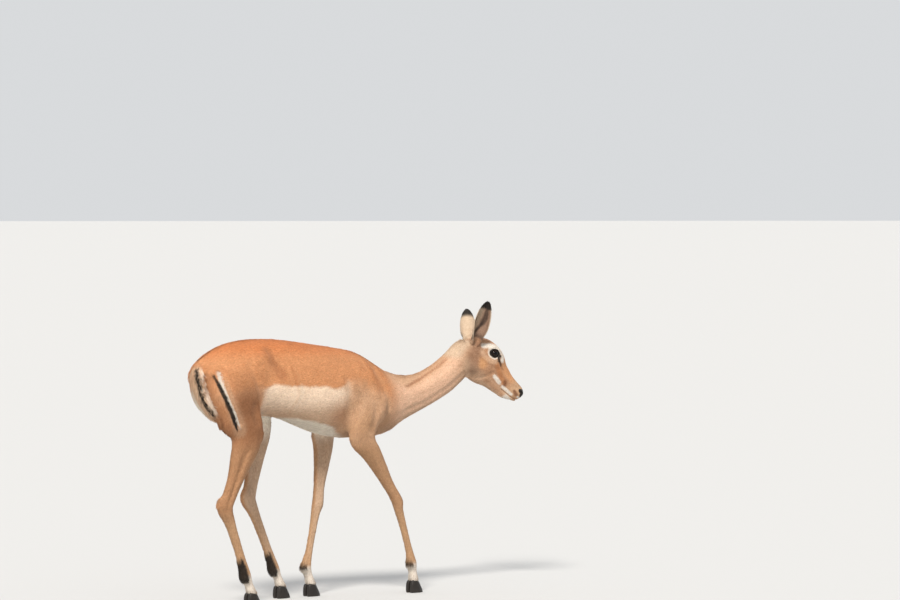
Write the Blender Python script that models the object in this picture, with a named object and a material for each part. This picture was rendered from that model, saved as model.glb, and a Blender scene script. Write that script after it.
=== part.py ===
"""An impala ewe at life size, standing with her right foreleg forward and her head low.

Metres, +Z up. She faces +X, so her right side is -Y, and her hooves rest on Z = 0.
The body is lofted from sections along the spine, the skull and each limb, joined into
one form, and parted with thin flat cuts at the neck, elbows, knees, stifles and hocks.
"""

import math

import bmesh
import bpy
from mathutils import Matrix, Vector

# ---------------------------------------------------------------- driving sizes
GAP = 0.0003             # air between two pieces that meet
RING_SIDES = 28          # points round a body section
LIMB_SIDES = 20          # points round a limb section
STEPS = 4                # sections made between two stations
VOXEL = 0.0055           # grain of the joined form
FORM_TRIANGLES = 5000    # of the joined form, before it is parted

HEAD_YAW = math.radians(-18)     # the head is turned to her right
HEAD_PITCH = math.radians(46)    # the nose points down this much
NOSE_TIP = Vector((0.704, -0.100, 0.681))
EYE_RADIUS = 0.0175
EYE_IN_HEAD = (-0.198, 0.0420, 0.001)      # along, aside, above the nose tip
EAR_ROOT_IN_HEAD = (-0.276, 0.034, -0.015)
EAR_WALL = 0.0042
EAR_SIDES = 9
EARS = {                 # tip of the ear, and the way its opening faces
    "ear_right": ((0.512, -0.125, 1.008), (-0.45, -0.88, 0.10)),
    "ear_left": ((0.573, 0.066, 0.977), (0.62, 0.75, 0.10)),
}
CORONET = 0.040          # height of the top of a hoof
CLEFT = 0.0012           # half the space between the two claws of a hoof
CLAW_SIDES = 12

COATS = {                # colour, roughness
    "rufous_coat": ((0.50, 0.20, 0.07), 0.60),
    "fawn_coat": ((0.62, 0.36, 0.17), 0.62),
    "horn": ((0.035, 0.028, 0.024), 0.35),
    "eye": ((0.012, 0.008, 0.006), 0.08),
}

# ---------------------------------------------------------------- stations
# Spine: top x, top z, bottom x, bottom z, half width, height of the widest level
# as a share, sideways shift, how peaked the top is, how keeled the bottom is.
SPINE = (
    (-0.664, 0.790, -0.660, 0.722, 0.030, 0.50, 0.000, 1.0, 1.0),
    (-0.652, 0.822, -0.644, 0.672, 0.056, 0.50, 0.000, 1.0, 1.0),
    (-0.615, 0.852, -0.610, 0.632, 0.080, 0.52, 0.000, 1.1, 1.0),
    (-0.550, 0.879, -0.550, 0.606, 0.098, 0.56, 0.000, 1.1, 1.0),
    (-0.470, 0.893, -0.470, 0.616, 0.106, 0.58, 0.000, 1.2, 1.0),
    (-0.390, 0.895, -0.390, 0.630, 0.106, 0.52, 0.000, 1.15, 1.0),
    (-0.310, 0.890, -0.310, 0.617, 0.116, 0.48, 0.000, 1.1, 1.0),
    (-0.230, 0.880, -0.230, 0.588, 0.124, 0.47, 0.000, 1.1, 1.0),
    (-0.150, 0.869, -0.150, 0.560, 0.122, 0.47, 0.000, 1.15, 1.0),
    (-0.070, 0.859, -0.070, 0.545, 0.112, 0.48, 0.000, 1.25, 1.05),
    (0.000, 0.847, 0.012, 0.543, 0.100, 0.48, 0.000, 1.35, 1.05),
    (0.055, 0.824, 0.095, 0.545, 0.088, 0.46, 0.000, 1.30, 1.0),
    (0.100, 0.798, 0.158, 0.560, 0.075, 0.46, 0.000, 1.20, 1.0),
    (0.150, 0.772, 0.202, 0.585, 0.061, 0.47, 0.000, 1.10, 1.0),
    (0.205, 0.757, 0.250, 0.607, 0.053, 0.48, -0.003, 1.05, 1.0),
    (0.265, 0.757, 0.310, 0.633, 0.048, 0.48, -0.009, 1.0, 1.0),
    (0.330, 0.783, 0.375, 0.664, 0.045, 0.48, -0.016, 1.0, 1.0),
    (0.392, 0.823, 0.438, 0.701, 0.046, 0.50, -0.023, 1.0, 1.0),
    (0.436, 0.863, 0.486, 0.744, 0.047, 0.52, -0.030, 1.0, 1.0),
    (0.470, 0.880, 0.512, 0.775, 0.038, 0.52, -0.038, 1.0, 1.0),
)

# Skull: distance behind the nose tip, top, bottom, half width, widest share,
# how peaked the top is, how keeled the bottom is.
SKULL = (
    (-0.003, -0.008, -0.040, 0.0120, 0.50, 1.0, 1.0),
    (-0.012, 0.0025, -0.0530, 0.0195, 0.52, 1.0, 1.0),
    (-0.030, 0.0060, -0.0665, 0.0235, 0.57, 1.0, 1.0),
    (-0.053, 0.0055, -0.0795, 0.0255, 0.62, 1.0, 1.05),
    (-0.080, 0.0065, -0.0865, 0.0295, 0.64, 1.05, 1.15),
    (-0.105, 0.0120, -0.0920, 0.0345, 0.63, 1.05, 1.2),
    (-0.130, 0.0190, -0.0990, 0.0405, 0.66, 1.0, 1.3),
    (-0.155, 0.0320, -0.112, 0.0470, 0.70, 0.95, 1.3),
    (-0.180, 0.0380, -0.120, 0.0530, 0.72, 0.95, 1.25),
    (-0.210, 0.0380, -0.123, 0.0525, 0.70, 1.0, 1.15),
    (-0.240, 0.0310, -0.120, 0.0495, 0.66, 1.0, 1.1),
    (-0.268, 0.0120, -0.110, 0.0450, 0.62, 1.0, 1.0),
    (-0.292, -0.018, -0.096, 0.0340, 0.56, 1.0, 1.0),
)

# Limb joints, from the body down to the coronet of the hoof.
JOINTS = {
    "foreleg_right": ((0.030, -0.068, 0.700), (-0.024, -0.098, 0.545), (0.131, -0.086, 0.328),
                      (0.212, -0.071, 0.103), (0.218, -0.068, 0.043)),
    "foreleg_left": ((0.005, 0.068, 0.700), (-0.046, 0.096, 0.552), (-0.090, 0.074, 0.322),
                     (-0.152, 0.058, 0.102), (-0.136, 0.057, 0.043)),
    "hindleg_right": ((-0.560, -0.062, 0.800), (-0.497, -0.092, 0.575), (-0.592, -0.080, 0.327),
                      (-0.503, -0.071, 0.102), (-0.482, -0.069, 0.043)),
    "hindleg_left": ((-0.515, 0.062, 0.785), (-0.318, 0.097, 0.602), (-0.374, 0.083, 0.337),
                     (-0.279, 0.069, 0.102), (-0.258, 0.067, 0.043)),
}

# Limb girths: place along the joints (1.5 is halfway along the second bone), shift
# forward, shift outward, half depth fore and aft, half width.
FORE_GIRTHS = (
    (0.00, 0.000, 0.000, 0.052, 0.030),
    (0.50, -0.012, 0.006, 0.064, 0.034),
    (0.85, -0.012, 0.002, 0.056, 0.032),
    (1.00, -0.006, -0.002, 0.050, 0.030),
    (1.20, 0.002, 0.000, 0.039, 0.028),
    (1.45, 0.002, 0.000, 0.0300, 0.0235),
    (1.75, 0.000, 0.000, 0.0215, 0.0185),
    (1.92, 0.001, 0.000, 0.0205, 0.0195),
    (2.04, 0.002, 0.000, 0.0215, 0.0200),
    (2.16, -0.001, 0.000, 0.0180, 0.0160),
    (2.40, 0.000, 0.000, 0.0150, 0.0130),
    (2.75, 0.000, 0.000, 0.0145, 0.0130),
    (2.92, -0.001, 0.000, 0.0180, 0.0160),
    (3.05, -0.003, 0.000, 0.0205, 0.0185),
    (3.45, 0.000, 0.000, 0.0150, 0.0165),
    (3.80, 0.001, 0.000, 0.0175, 0.0190),
    (4.05, 0.002, 0.000, 0.0190, 0.0205),
    (4.35, 0.003, 0.000, 0.0190, 0.0205),
)
HIND_GIRTHS = (
    (0.00, -0.010, 0.000, 0.088, 0.044),
    (0.25, -0.020, 0.004, 0.106, 0.056),
    (0.50, -0.026, 0.003, 0.104, 0.056),
    (0.75, -0.026, 0.000, 0.089, 0.048),
    (0.95, -0.014, 0.000, 0.069, 0.041),
    (1.15, -0.008, 0.000, 0.056, 0.035),
    (1.35, -0.006, 0.000, 0.043, 0.029),
    (1.60, -0.004, 0.000, 0.031, 0.022),
    (1.82, -0.006, 0.000, 0.0270, 0.0185),
    (1.97, -0.009, 0.000, 0.0300, 0.0205),
    (2.10, -0.002, 0.000, 0.0240, 0.0195),
    (2.28, 0.000, 0.000, 0.0190, 0.0155),
    (2.70, 0.000, 0.000, 0.0170, 0.0140),
    (2.90, -0.001, 0.000, 0.0190, 0.0165),
    (3.03, -0.003, 0.000, 0.0210, 0.0185),
    (3.45, 0.000, 0.000, 0.0155, 0.0165),
    (3.80, 0.001, 0.000, 0.0175, 0.0190),
    (4.05, 0.002, 0.000, 0.0190, 0.0205),
    (4.35, 0.003, 0.000, 0.0190, 0.0205),
)

# Muscles and bony points, given for the right side: centre, radii, pitch in degrees.
RIGHT_MASSES = {
    "shoulder_blade": ((0.008, -0.068, 0.722), (0.052, 0.024, 0.088), -22),
    "upper_arm": ((0.030, -0.084, 0.632), (0.066, 0.030, 0.050), -38),
    "elbow_point": ((-0.058, -0.103, 0.562), (0.020, 0.014, 0.028), -20),
    "hip_point": ((-0.420, -0.076, 0.822), (0.046, 0.026, 0.026), 12),
    "seat_bone": ((-0.612, -0.050, 0.762), (0.040, 0.030, 0.062), 0),
    "hock_point": ((-0.622, -0.080, 0.350), (0.011, 0.010, 0.024), 14),
}
# Bony rims of the eyes and the jaw muscles, in the head's axes, also for the right side.
HEAD_MASSES = {
    "eye_rim": ((-0.200, 0.0355, 0.006), (0.030, 0.0195, 0.021)),
    "jaw_muscle": ((-0.222, 0.0300, -0.068), (0.036, 0.0170, 0.038)),
    "nose_side": ((-0.022, 0.0130, -0.018), (0.020, 0.0125, 0.015)),
}

# Tail: centre line, half width, half thickness.
TAIL = (
    (-0.618, 0.000, 0.822, 0.018, 0.016),
    (-0.645, -0.004, 0.818, 0.020, 0.014),
    (-0.664, -0.011, 0.796, 0.020, 0.012),
    (-0.674, -0.022, 0.762, 0.020, 0.011),
    (-0.675, -0.036, 0.725, 0.020, 0.010),
    (-0.666, -0.050, 0.688, 0.017, 0.009),
    (-0.653, -0.060, 0.656, 0.014, 0.007),
    (-0.642, -0.067, 0.630, 0.007, 0.004),
)

# Ear: share of its length, half width, half angle of its cup in degrees.
EAR = (
    (0.00, 0.0190, 150), (0.12, 0.0205, 146), (0.24, 0.0232, 122), (0.38, 0.0262, 98),
    (0.52, 0.0276, 82), (0.66, 0.0260, 70), (0.79, 0.0214, 60), (0.90, 0.0152, 52),
    (0.97, 0.0092, 46), (1.00, 0.0038, 42),
)

# Claw: height, back, front, width.
CLAW = (
    (0.000, -0.0200, 0.0350, 0.0185),
    (0.010, -0.0210, 0.0320, 0.0195),
    (0.026, -0.0200, 0.0245, 0.0198),
    (CORONET, -0.0170, 0.0175, 0.0190),
)

# Cuts: a point of the cut, the way it faces, half its reach, half its width.
CUTS = {
    "nape": ((0.447, -0.022, 0.790), (0.90, -0.10, 0.42), 0.13, 0.11),
    "neck_foot": ((0.165, 0.000, 0.690), (0.95, 0.00, 0.31), 0.16, 0.13),
}
LIMB_CUTS = {"foreleg": (1.13, 2.14), "hindleg": (1.22, 2.13)}   # places along the joints


# ---------------------------------------------------------------- helpers
def curve_through(rows, steps=STEPS):
    """The rows of numbers, with steps - 1 more between each two on a Catmull-Rom curve."""
    made = []
    for i in range(len(rows) - 1):
        before, start = rows[max(i - 1, 0)], rows[i]
        end, after = rows[i + 1], rows[min(i + 2, len(rows) - 1)]
        for k in range(steps):
            t = k / steps
            made.append([
                0.5 * (2 * b + (c - a) * t + (2 * a - 5 * b + 4 * c - d) * t * t
                       + (3 * b - a - 3 * c + d) * t ** 3)
                for a, b, c, d in zip(before, start, end, after)
            ])
    made.append(list(rows[-1]))
    return made


def section(centre, aside, upward, half_width, rise, drop, peak=1.0, keel=1.0, sides=RING_SIDES):
    """A closed egg-shaped ring: rise above its widest level and drop below it."""
    ring = []
    for i in range(sides):
        turn = 2 * math.pi * i / sides
        across, along = math.cos(turn), math.sin(turn)
        sharp, reach = (peak, rise) if along >= 0 else (keel, drop)
        width = math.copysign(abs(across) ** sharp, across) * half_width
        ring.append(centre + aside * width + upward * (along * reach))
    return ring


def loft(rings):
    """A closed mesh over rings of an even count, each end covered by strips across it."""
    shape = bmesh.new()
    loops = [[shape.verts.new(p) for p in ring] for ring in rings]
    sides = len(loops[0])
    for near, far in zip(loops, loops[1:]):
        for i in range(sides):
            j = (i + 1) % sides
            shape.faces.new((near[i], near[j], far[j], far[i]))
    for loop in (loops[0], loops[-1]):
        for i in range(sides // 2 - 1):
            shape.faces.new((loop[i], loop[i + 1], loop[sides - 2 - i], loop[sides - 1 - i]))
    bmesh.ops.recalc_face_normals(shape, faces=shape.faces)
    return shape


def ellipsoid(centre, radii, turn=Matrix()):
    shape = bmesh.new()
    place = Matrix.Translation(centre) @ turn @ Matrix.Diagonal((*radii, 1))
    bmesh.ops.create_uvsphere(shape, u_segments=16, v_segments=10, radius=1, matrix=place)
    return shape


def mesh_from(shape, name):
    mesh = bpy.data.meshes.new(name)
    shape.to_mesh(mesh)
    shape.free()
    return mesh


def show(mesh, name, coat):
    """Puts a mesh in the scene as a named, smooth-shaded object of one material."""
    mesh.name = name
    obj = bpy.data.objects.new(name, mesh)
    bpy.context.scene.collection.objects.link(obj)
    mesh.materials.clear()
    mesh.materials.append(MATERIALS[coat])
    mesh.shade_smooth()
    mesh.set_sharp_from_angle(angle=math.radians(50))
    return obj


def evaluated_mesh(obj):
    bpy.context.view_layer.update()
    return bpy.data.meshes.new_from_object(
        obj.evaluated_get(bpy.context.evaluated_depsgraph_get()))


def make_material(name, colour, roughness):
    material = bpy.data.materials.new(name)
    material.use_nodes = True
    shader = material.node_tree.nodes["Principled BSDF"]
    shader.inputs["Base Color"].default_value = (*colour, 1)
    shader.inputs["Roughness"].default_value = roughness
    shader.inputs["Metallic"].default_value = 0
    return material


# ---------------------------------------------------------------- the head's own axes
FORWARD = Vector((math.cos(HEAD_YAW) * math.cos(HEAD_PITCH),
                  math.sin(HEAD_YAW) * math.cos(HEAD_PITCH), -math.sin(HEAD_PITCH)))
LEFTWARD = Vector((-math.sin(HEAD_YAW), math.cos(HEAD_YAW), 0))
CROWNWARD = FORWARD.cross(LEFTWARD)
HEAD_TURN = Matrix((FORWARD, LEFTWARD, CROWNWARD)).transposed().to_4x4()


def in_head(along, aside, above):
    return NOSE_TIP + FORWARD * along + LEFTWARD * aside + CROWNWARD * above


# ---------------------------------------------------------------- forms that are joined
def spine_form():
    rings = []
    rows = curve_through(SPINE)
    for i, row in enumerate(rows):
        top_x, top_z, bottom_x, bottom_z, half_width, share, shift, peak, keel = row
        upward = Vector((top_x - bottom_x, 0, top_z - bottom_z))
        depth = upward.length
        before, after = rows[max(i - 1, 0)], rows[min(i + 1, len(rows) - 1)]
        yaw = math.atan2(after[6] - before[6], max(after[0] - before[0], 1e-6))
        aside = Vector((-math.sin(yaw), math.cos(yaw), 0))
        centre = Vector((bottom_x, shift, bottom_z)) + upward * share
        rings.append(section(centre, aside, upward / depth, half_width,
                             depth * (1 - share), depth * share, peak, keel))
    return loft(rings)


def skull_form():
    rings = []
    for along, top, bottom, half_width, share, peak, keel in curve_through(SKULL):
        depth = top - bottom
        centre = in_head(along, 0, bottom + depth * share)
        rings.append(section(centre, LEFTWARD, CROWNWARD, half_width,
                             depth * (1 - share), depth * share, peak, keel))
    return loft(rings)


def limb_form(joints, girths):
    """A limb: its stations follow the joints, and each ring lies square to the bone line."""
    points = [Vector(p) for p in joints]
    outward = math.copysign(1, points[1].y)
    rows = []
    for place, forward, out, depth, width in girths:
        bone = min(int(place), len(points) - 2)
        spot = points[bone].lerp(points[bone + 1], place - bone)
        rows.append((spot.x + forward, spot.y + out * outward, spot.z, depth, width))
    rows = curve_through(rows, 3)
    rings = []
    for i, (x, y, z, depth, width) in enumerate(rows):
        before, after = rows[max(i - 2, 0)], rows[min(i + 2, len(rows) - 1)]
        down = (Vector(after[:3]) - Vector(before[:3])).normalized()
        aside = Vector((0, 1, 0))
        ahead = aside.cross(down).normalized()
        rings.append(section(Vector((x, y, z)), ahead, aside, depth, width, width,
                             sides=LIMB_SIDES))
    return loft(rings)


def joined_form():
    """Spine, skull, limbs and muscles made one closed skin, eased where they meet."""
    whole = bmesh.new()
    shapes = [spine_form(), skull_form()]
    for name, joints in JOINTS.items():
        girths = FORE_GIRTHS if name.startswith("fore") else HIND_GIRTHS
        shapes.append(limb_form(joints, girths))
    hock_shift = Vector(JOINTS["hindleg_left"][2]) - Vector(JOINTS["hindleg_right"][2])
    for name, (centre, radii, pitch) in RIGHT_MASSES.items():
        turn = Matrix.Rotation(math.radians(pitch), 4, "Y")
        left = Vector((centre[0], -centre[1], centre[2]))
        if name == "hock_point":
            left += Vector((hock_shift.x, 0, hock_shift.z))
        shapes.append(ellipsoid(Vector(centre), radii, turn))
        shapes.append(ellipsoid(left, radii, turn))
    for (along, aside, above), radii in HEAD_MASSES.values():
        for side in (-1, 1):
            shapes.append(ellipsoid(in_head(along, side * aside, above), radii, HEAD_TURN))
    for shape in shapes:
        part = mesh_from(shape, "part")
        whole.from_mesh(part)
        bpy.data.meshes.remove(part)
    form = bpy.data.objects.new("form", mesh_from(whole, "form"))
    bpy.context.scene.collection.objects.link(form)
    grain = form.modifiers.new("grain", "REMESH")
    grain.mode = "VOXEL"
    grain.voxel_size = VOXEL
    skin = evaluated_mesh(form)
    bpy.data.objects.remove(form)

    form = bpy.data.objects.new("form", skin)
    bpy.context.scene.collection.objects.link(form)
    trunk_only = form.vertex_groups.new(name="trunk_only")
    for vertex in skin.vertices:
        height = min(max((vertex.co.z - 0.47) / 0.12, 0), 1)
        ahead = min(max((0.42 - vertex.co.x) / 0.10, 0), 1)
        trunk_only.add([vertex.index], height * ahead, "REPLACE")
    ease = form.modifiers.new("ease", "SMOOTH")
    ease.factor = 0.5
    ease.iterations = 4
    blend = form.modifiers.new("blend", "SMOOTH")
    blend.factor = 0.6
    blend.iterations = 34
    blend.vertex_group = "trunk_only"
    thin = form.modifiers.new("thin", "DECIMATE")
    thin.ratio = FORM_TRIANGLES / (2 * len(skin.polygons))
    made = evaluated_mesh(form)
    bpy.data.objects.remove(form)
    return made


# ---------------------------------------------------------------- forms of their own
def ear_form(root, tip, opening):
    """A cupped leaf: an outer and an inner arc at each station, open to one side."""
    reach = tip - root
    axis = reach.normalized()
    opening = (opening - axis * opening.dot(axis)).normalized()
    aside = axis.cross(opening)
    rings = []
    for share, half_width, angle in EAR:
        cup = math.radians(angle)
        radius = half_width / math.sin(min(cup, math.pi / 2))
        wall = min(EAR_WALL, half_width * 0.55)
        centre = root + reach * share + opening * (radius - half_width * 0.5)
        ring = []
        for size, turn in ((radius, 1), (radius - wall, -1)):
            for i in range(EAR_SIDES):
                spin = cup * turn * (2 * i / (EAR_SIDES - 1) - 1)
                ring.append(centre - opening * math.cos(spin) * size
                            + aside * math.sin(spin) * size)
        rings.append(ring)
    return loft(rings)


def tail_form():
    rows = curve_through(TAIL, 2)
    rings = []
    for i, (x, y, z, width, thick) in enumerate(rows):
        before, after = rows[max(i - 1, 0)], rows[min(i + 1, len(rows) - 1)]
        down = (Vector(after[:3]) - Vector(before[:3])).normalized()
        aside = Vector((0, 1, 0))
        back = aside.cross(down).normalized()
        rings.append(section(Vector((x, y, z)), aside, back, width, thick, thick, sides=12))
    return loft(rings)


def claw_form(foot, side):
    """One half of a cloven hoof: flat inside and below, rounded outside, narrowed ahead."""
    rings = []
    for height, back, front, width in CLAW:
        ring = []
        for i in range(CLAW_SIDES):
            turn = 2 * math.pi * i / CLAW_SIDES
            ahead = math.copysign(abs(math.cos(turn)) ** 0.85, math.cos(turn))
            out = 0.5 + 0.5 * math.copysign(abs(math.sin(turn)) ** 0.7, math.sin(turn))
            narrowed = 1 - 0.42 * max(ahead, 0) ** 2
            x = foot.x + (back + front) / 2 + ahead * (front - back) / 2
            y = foot.y + side * (CLEFT + width * out * narrowed)
            ring.append(Vector((x, y, height)))
        rings.append(ring)
    return loft(rings)


# ---------------------------------------------------------------- parting
def slab(point, facing, reach, half_width):
    """A thin flat cutter, GAP thick, facing the given way: reach fore and aft, and to the sides."""
    shape = bmesh.new()
    out = Vector(facing).normalized()
    ahead = Vector((0, 1, 0)).cross(out).normalized()
    aside = out.cross(ahead)
    turn = Matrix((ahead, aside, out)).transposed().to_4x4()
    place = Matrix.Translation(point) @ turn @ Matrix.Diagonal((2 * reach, 2 * half_width, GAP, 1))
    bmesh.ops.create_cube(shape, size=1, matrix=place)
    return shape


def cutters():
    """The slabs that part the form, and one block that takes what hangs below the coronets."""
    shapes = [slab(*cut) for cut in CUTS.values()]
    for name, joints in JOINTS.items():
        for place in LIMB_CUTS[name.split("_")[0]]:
            bone = int(place)
            start, end = Vector(joints[bone]), Vector(joints[bone + 1])
            shapes.append(slab(start.lerp(end, place - bone), end - start, 0.115, 0.055))
    block = bmesh.new()
    place = Matrix.Translation((0, 0, CORONET + GAP - 0.5)) @ Matrix.Diagonal((3, 1, 1, 1))
    bmesh.ops.create_cube(block, size=1, matrix=place)
    shapes.append(block)
    return shapes


def difference(mesh, cutter_meshes, name):
    """The mesh less each of the cutters."""
    obj = bpy.data.objects.new(name, mesh)
    bpy.context.scene.collection.objects.link(obj)
    tools = []
    for i, cutter_mesh in enumerate(cutter_meshes):
        tool = bpy.data.objects.new(f"{name}_cutter_{i}", cutter_mesh)
        bpy.context.scene.collection.objects.link(tool)
        tool.hide_render = True
        tool.display_type = "WIRE"
        tools.append(tool)
        cut = obj.modifiers.new(f"cut_{i}", "BOOLEAN")
        cut.operation = "DIFFERENCE"
        cut.solver = "EXACT"
        cut.object = tool
    made = evaluated_mesh(obj)
    for item in (obj, *tools):
        bpy.data.objects.remove(item)
    return made


def swollen(mesh):
    """A copy of the mesh, grown outward by twice the gap."""
    obj = bpy.data.objects.new("swollen", mesh.copy())
    bpy.context.scene.collection.objects.link(obj)
    grow = obj.modifiers.new("grow", "DISPLACE")
    grow.mid_level = 0
    grow.strength = 2 * GAP
    made = evaluated_mesh(obj)
    bpy.data.objects.remove(obj)
    return made


def islands(mesh):
    """The separate bodies of a mesh, each as a mesh of its own."""
    whole = bmesh.new()
    whole.from_mesh(mesh)
    left = set(whole.verts)
    found = []
    while left:
        group, edge = set(), [min(left, key=lambda v: v.index)]
        while edge:
            vertex = edge.pop()
            if vertex in group:
                continue
            group.add(vertex)
            edge.extend(e.other_vert(vertex) for e in vertex.link_edges)
        left -= group
        found.append([v.index for v in group])
    whole.free()
    meshes = []
    for group in found:
        piece = bmesh.new()
        piece.from_mesh(mesh)
        keep = set(group)
        bmesh.ops.delete(piece, geom=[v for v in piece.verts if v.index not in keep],
                         context="VERTS")
        bmesh.ops.triangulate(piece, faces=piece.faces)
        bmesh.ops.dissolve_degenerate(piece, dist=1e-6, edges=piece.edges)
        meshes.append(mesh_from(piece, "piece"))
    return meshes


def piece_seeds():
    """A point in or on each piece of the parted form, to name it by."""
    seeds = {"head": in_head(-0.10, 0, 0), "neck": Vector((0.30, 0, 0.76)),
             "trunk": Vector((-0.25, 0, 0.88))}
    for name, joints in JOINTS.items():
        upper, lower = Vector(joints[1]).lerp(Vector(joints[2]), 0.5), Vector(joints[3])
        seeds[name] = upper
        seeds[name.replace("leg", "foot")] = lower
    return seeds


def named_pieces(meshes):
    named = {}
    for name, seed in piece_seeds().items():
        nearest = min(meshes, key=lambda m: min((v.co - seed).length for v in m.vertices))
        named[name] = nearest
    return named


# ---------------------------------------------------------------- main
def main():
    for obj in list(bpy.data.objects):
        bpy.data.objects.remove(obj)
    for name, (colour, roughness) in COATS.items():
        MATERIALS[name] = make_material(name, colour, roughness)

    form = joined_form()
    eyes = {}
    for side, name in ((-1, "eye_right"), (1, "eye_left")):
        along, aside, above = EYE_IN_HEAD
        eyes[name] = in_head(along, side * aside, above)
    sockets = [ellipsoid(place, (EYE_RADIUS + GAP,) * 3) for place in eyes.values()]
    cuts = [mesh_from(shape, "cutter") for shape in cutters() + sockets]
    grown = swollen(form)
    made = named_pieces(islands(difference(form, cuts, "form")))

    for name, (tip, opening) in EARS.items():
        along, aside, above = EAR_ROOT_IN_HEAD
        side = -1 if name.endswith("right") else 1
        ear = ear_form(in_head(along, side * aside, above), Vector(tip), Vector(opening))
        pieces = islands(difference(mesh_from(ear, name), [grown.copy()], name))
        made[name] = max(pieces, key=lambda m: len(m.vertices))
    tail = islands(difference(mesh_from(tail_form(), "tail"), [grown.copy()], "tail"))
    made["tail"] = max(tail, key=lambda m: len(m.vertices))
    for name, place in eyes.items():
        made[name] = mesh_from(ellipsoid(place, (EYE_RADIUS,) * 3), name)
    for name, joints in JOINTS.items():
        end, hand = name.split("leg_")
        foot = Vector(joints[4])
        outward = math.copysign(1, foot.y)
        for claw, side in (("inner", -outward), ("outer", outward)):
            made[f"hoof_{end}_{hand}_{claw}"] = mesh_from(claw_form(foot, side), "claw")

    corners = [v.co for mesh in made.values() for v in mesh.vertices]
    middle = Vector([(min(c[i] for c in corners) + max(c[i] for c in corners)) / 2
                     for i in range(2)] + [min(c.z for c in corners)])
    for name, mesh in made.items():
        mesh.transform(Matrix.Translation(-middle))
        if name.startswith("hoof"):
            coat = "horn"
        elif name.startswith("eye"):
            coat = "eye"
        elif "leg" in name or "foot" in name:
            coat = "fawn_coat"
        else:
            coat = "rufous_coat"
        show(mesh, name, coat)


MATERIALS = {}
main()
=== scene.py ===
import math
from contextlib import contextmanager
import bmesh
import bpy
import numpy as np
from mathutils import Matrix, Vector
from mathutils.bvhtree import BVHTree


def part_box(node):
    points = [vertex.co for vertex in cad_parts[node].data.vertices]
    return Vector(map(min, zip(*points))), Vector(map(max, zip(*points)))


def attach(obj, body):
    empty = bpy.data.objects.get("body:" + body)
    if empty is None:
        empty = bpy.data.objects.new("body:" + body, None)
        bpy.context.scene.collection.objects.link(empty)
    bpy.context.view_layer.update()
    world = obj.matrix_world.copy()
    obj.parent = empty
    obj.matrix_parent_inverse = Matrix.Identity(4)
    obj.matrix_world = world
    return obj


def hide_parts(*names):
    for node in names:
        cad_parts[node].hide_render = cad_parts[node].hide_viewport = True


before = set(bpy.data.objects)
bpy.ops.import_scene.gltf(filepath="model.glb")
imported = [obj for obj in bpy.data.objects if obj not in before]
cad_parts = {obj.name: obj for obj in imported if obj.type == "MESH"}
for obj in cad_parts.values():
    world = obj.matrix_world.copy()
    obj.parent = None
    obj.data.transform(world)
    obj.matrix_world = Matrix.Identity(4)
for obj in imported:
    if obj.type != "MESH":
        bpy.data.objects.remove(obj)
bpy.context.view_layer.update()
bpy.ops.object.select_all(action="DESELECT")
print("frame loaded")


def mm(table):  # numbers in millimetres, however nested, to metres
    return table / 1000 if isinstance(table, (int, float)) else tuple(mm(item) for item in table)


# The pose in the animal's own axes: x ahead, y to its left, z up, from between its forefeet.
pose = {
    "headYaw": math.radians(-18), "headPitch": math.radians(46), "noseTip": mm((704, -100, 681)),
    "eyeInHead": mm((-198, 42, 1)), "eyeSink": mm(5), "eyeRadius": mm(17.5),
    "earRootInHead": mm((-276, 34, -15)),
    "ears": {  # side: tip of the ear and the way its opening faces
        -1: (mm((512, -125, 1008)), (-0.45, -0.88, 0.10)), 1: (mm((573, 66, 977)), (0.62, 0.75, 0.10)),
    },
    "legs": {  # joints from the body down to the coronet
        "fore_right": mm(((30, -68, 700), (-24, -98, 545), (131, -86, 328), (212, -71, 103), (218, -68, 43))),
        "fore_left": mm(((5, 68, 700), (-46, 96, 552), (-90, 74, 322), (-152, 58, 102), (-136, 57, 43))),
        "hind_right": mm(((-560, -62, 800), (-497, -92, 575), (-592, -80, 327), (-503, -71, 102),
                          (-482, -69, 43))),
        "hind_left": mm(((-515, 62, 785), (-318, 97, 602), (-374, 83, 337), (-279, 69, 102), (-258, 67, 43))),
    },
    "spine": mm(((-664, 0, 756), (-550, 0, 745), (-390, 0, 762), (-230, 0, 734), (-70, 0, 702), (6, 0, 695),
                 (75, 0, 685), (129, 0, 679), (176, 0, 678), (227.5, -3, 682), (287.5, -9, 695),
                 (352.5, -16, 720), (415, -23, 762), (461, -30, 803), (491, -38, 827))),
    "tail": mm(((-618, 0, 822), (-645, -4, 818), (-664, -11, 796), (-674, -22, 762), (-675, -36, 725),
                (-666, -50, 688), (-653, -60, 656), (-642, -67, 630))),
}


def wayTo(yaw, pitch):  # ahead, turned left by the yaw and then down by the pitch
    return np.array([math.cos(yaw) * math.cos(pitch), math.sin(yaw) * math.cos(pitch), -math.sin(pitch)])


headAhead = wayTo(pose["headYaw"], pose["headPitch"])
headLeft = np.array([-math.sin(pose["headYaw"]), math.cos(pose["headYaw"]), 0.0])
headUp = np.cross(headAhead, headLeft)


def inHead(along, aside, above):
    return np.array(pose["noseTip"]) + headAhead * along + headLeft * aside + headUp * above


def eyePlace(side, sink=pose["eyeSink"]):
    along, aside, above = pose["eyeInHead"]
    return inHead(along, side * (aside - sink), above)


low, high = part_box("eye_right")
frameShift = np.array((low + high) / 2) - eyePlace(-1, 0)  # own axes to the CAD's

# Light, floor and camera
studio = {
    "sky": (0.96, 0.98, 1.0), "skyStrength": 0.72,
    "floorColour": (0.62, 0.616, 0.608), "floorHalf": 1500.0,
    "sunWay": (0.80, 0.64, -1.0), "sunPower": 3.25, "sunSoftness": math.radians(14),
    "sunColour": (1.0, 0.96, 0.90),
    "cameraPlace": (-8.0036, -10.2441, 1.30), "cameraYaw": math.radians(50.5),
    "cameraPitch": math.radians(1.24), "lens": 150.8, "farthest": 4000,
}


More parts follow.
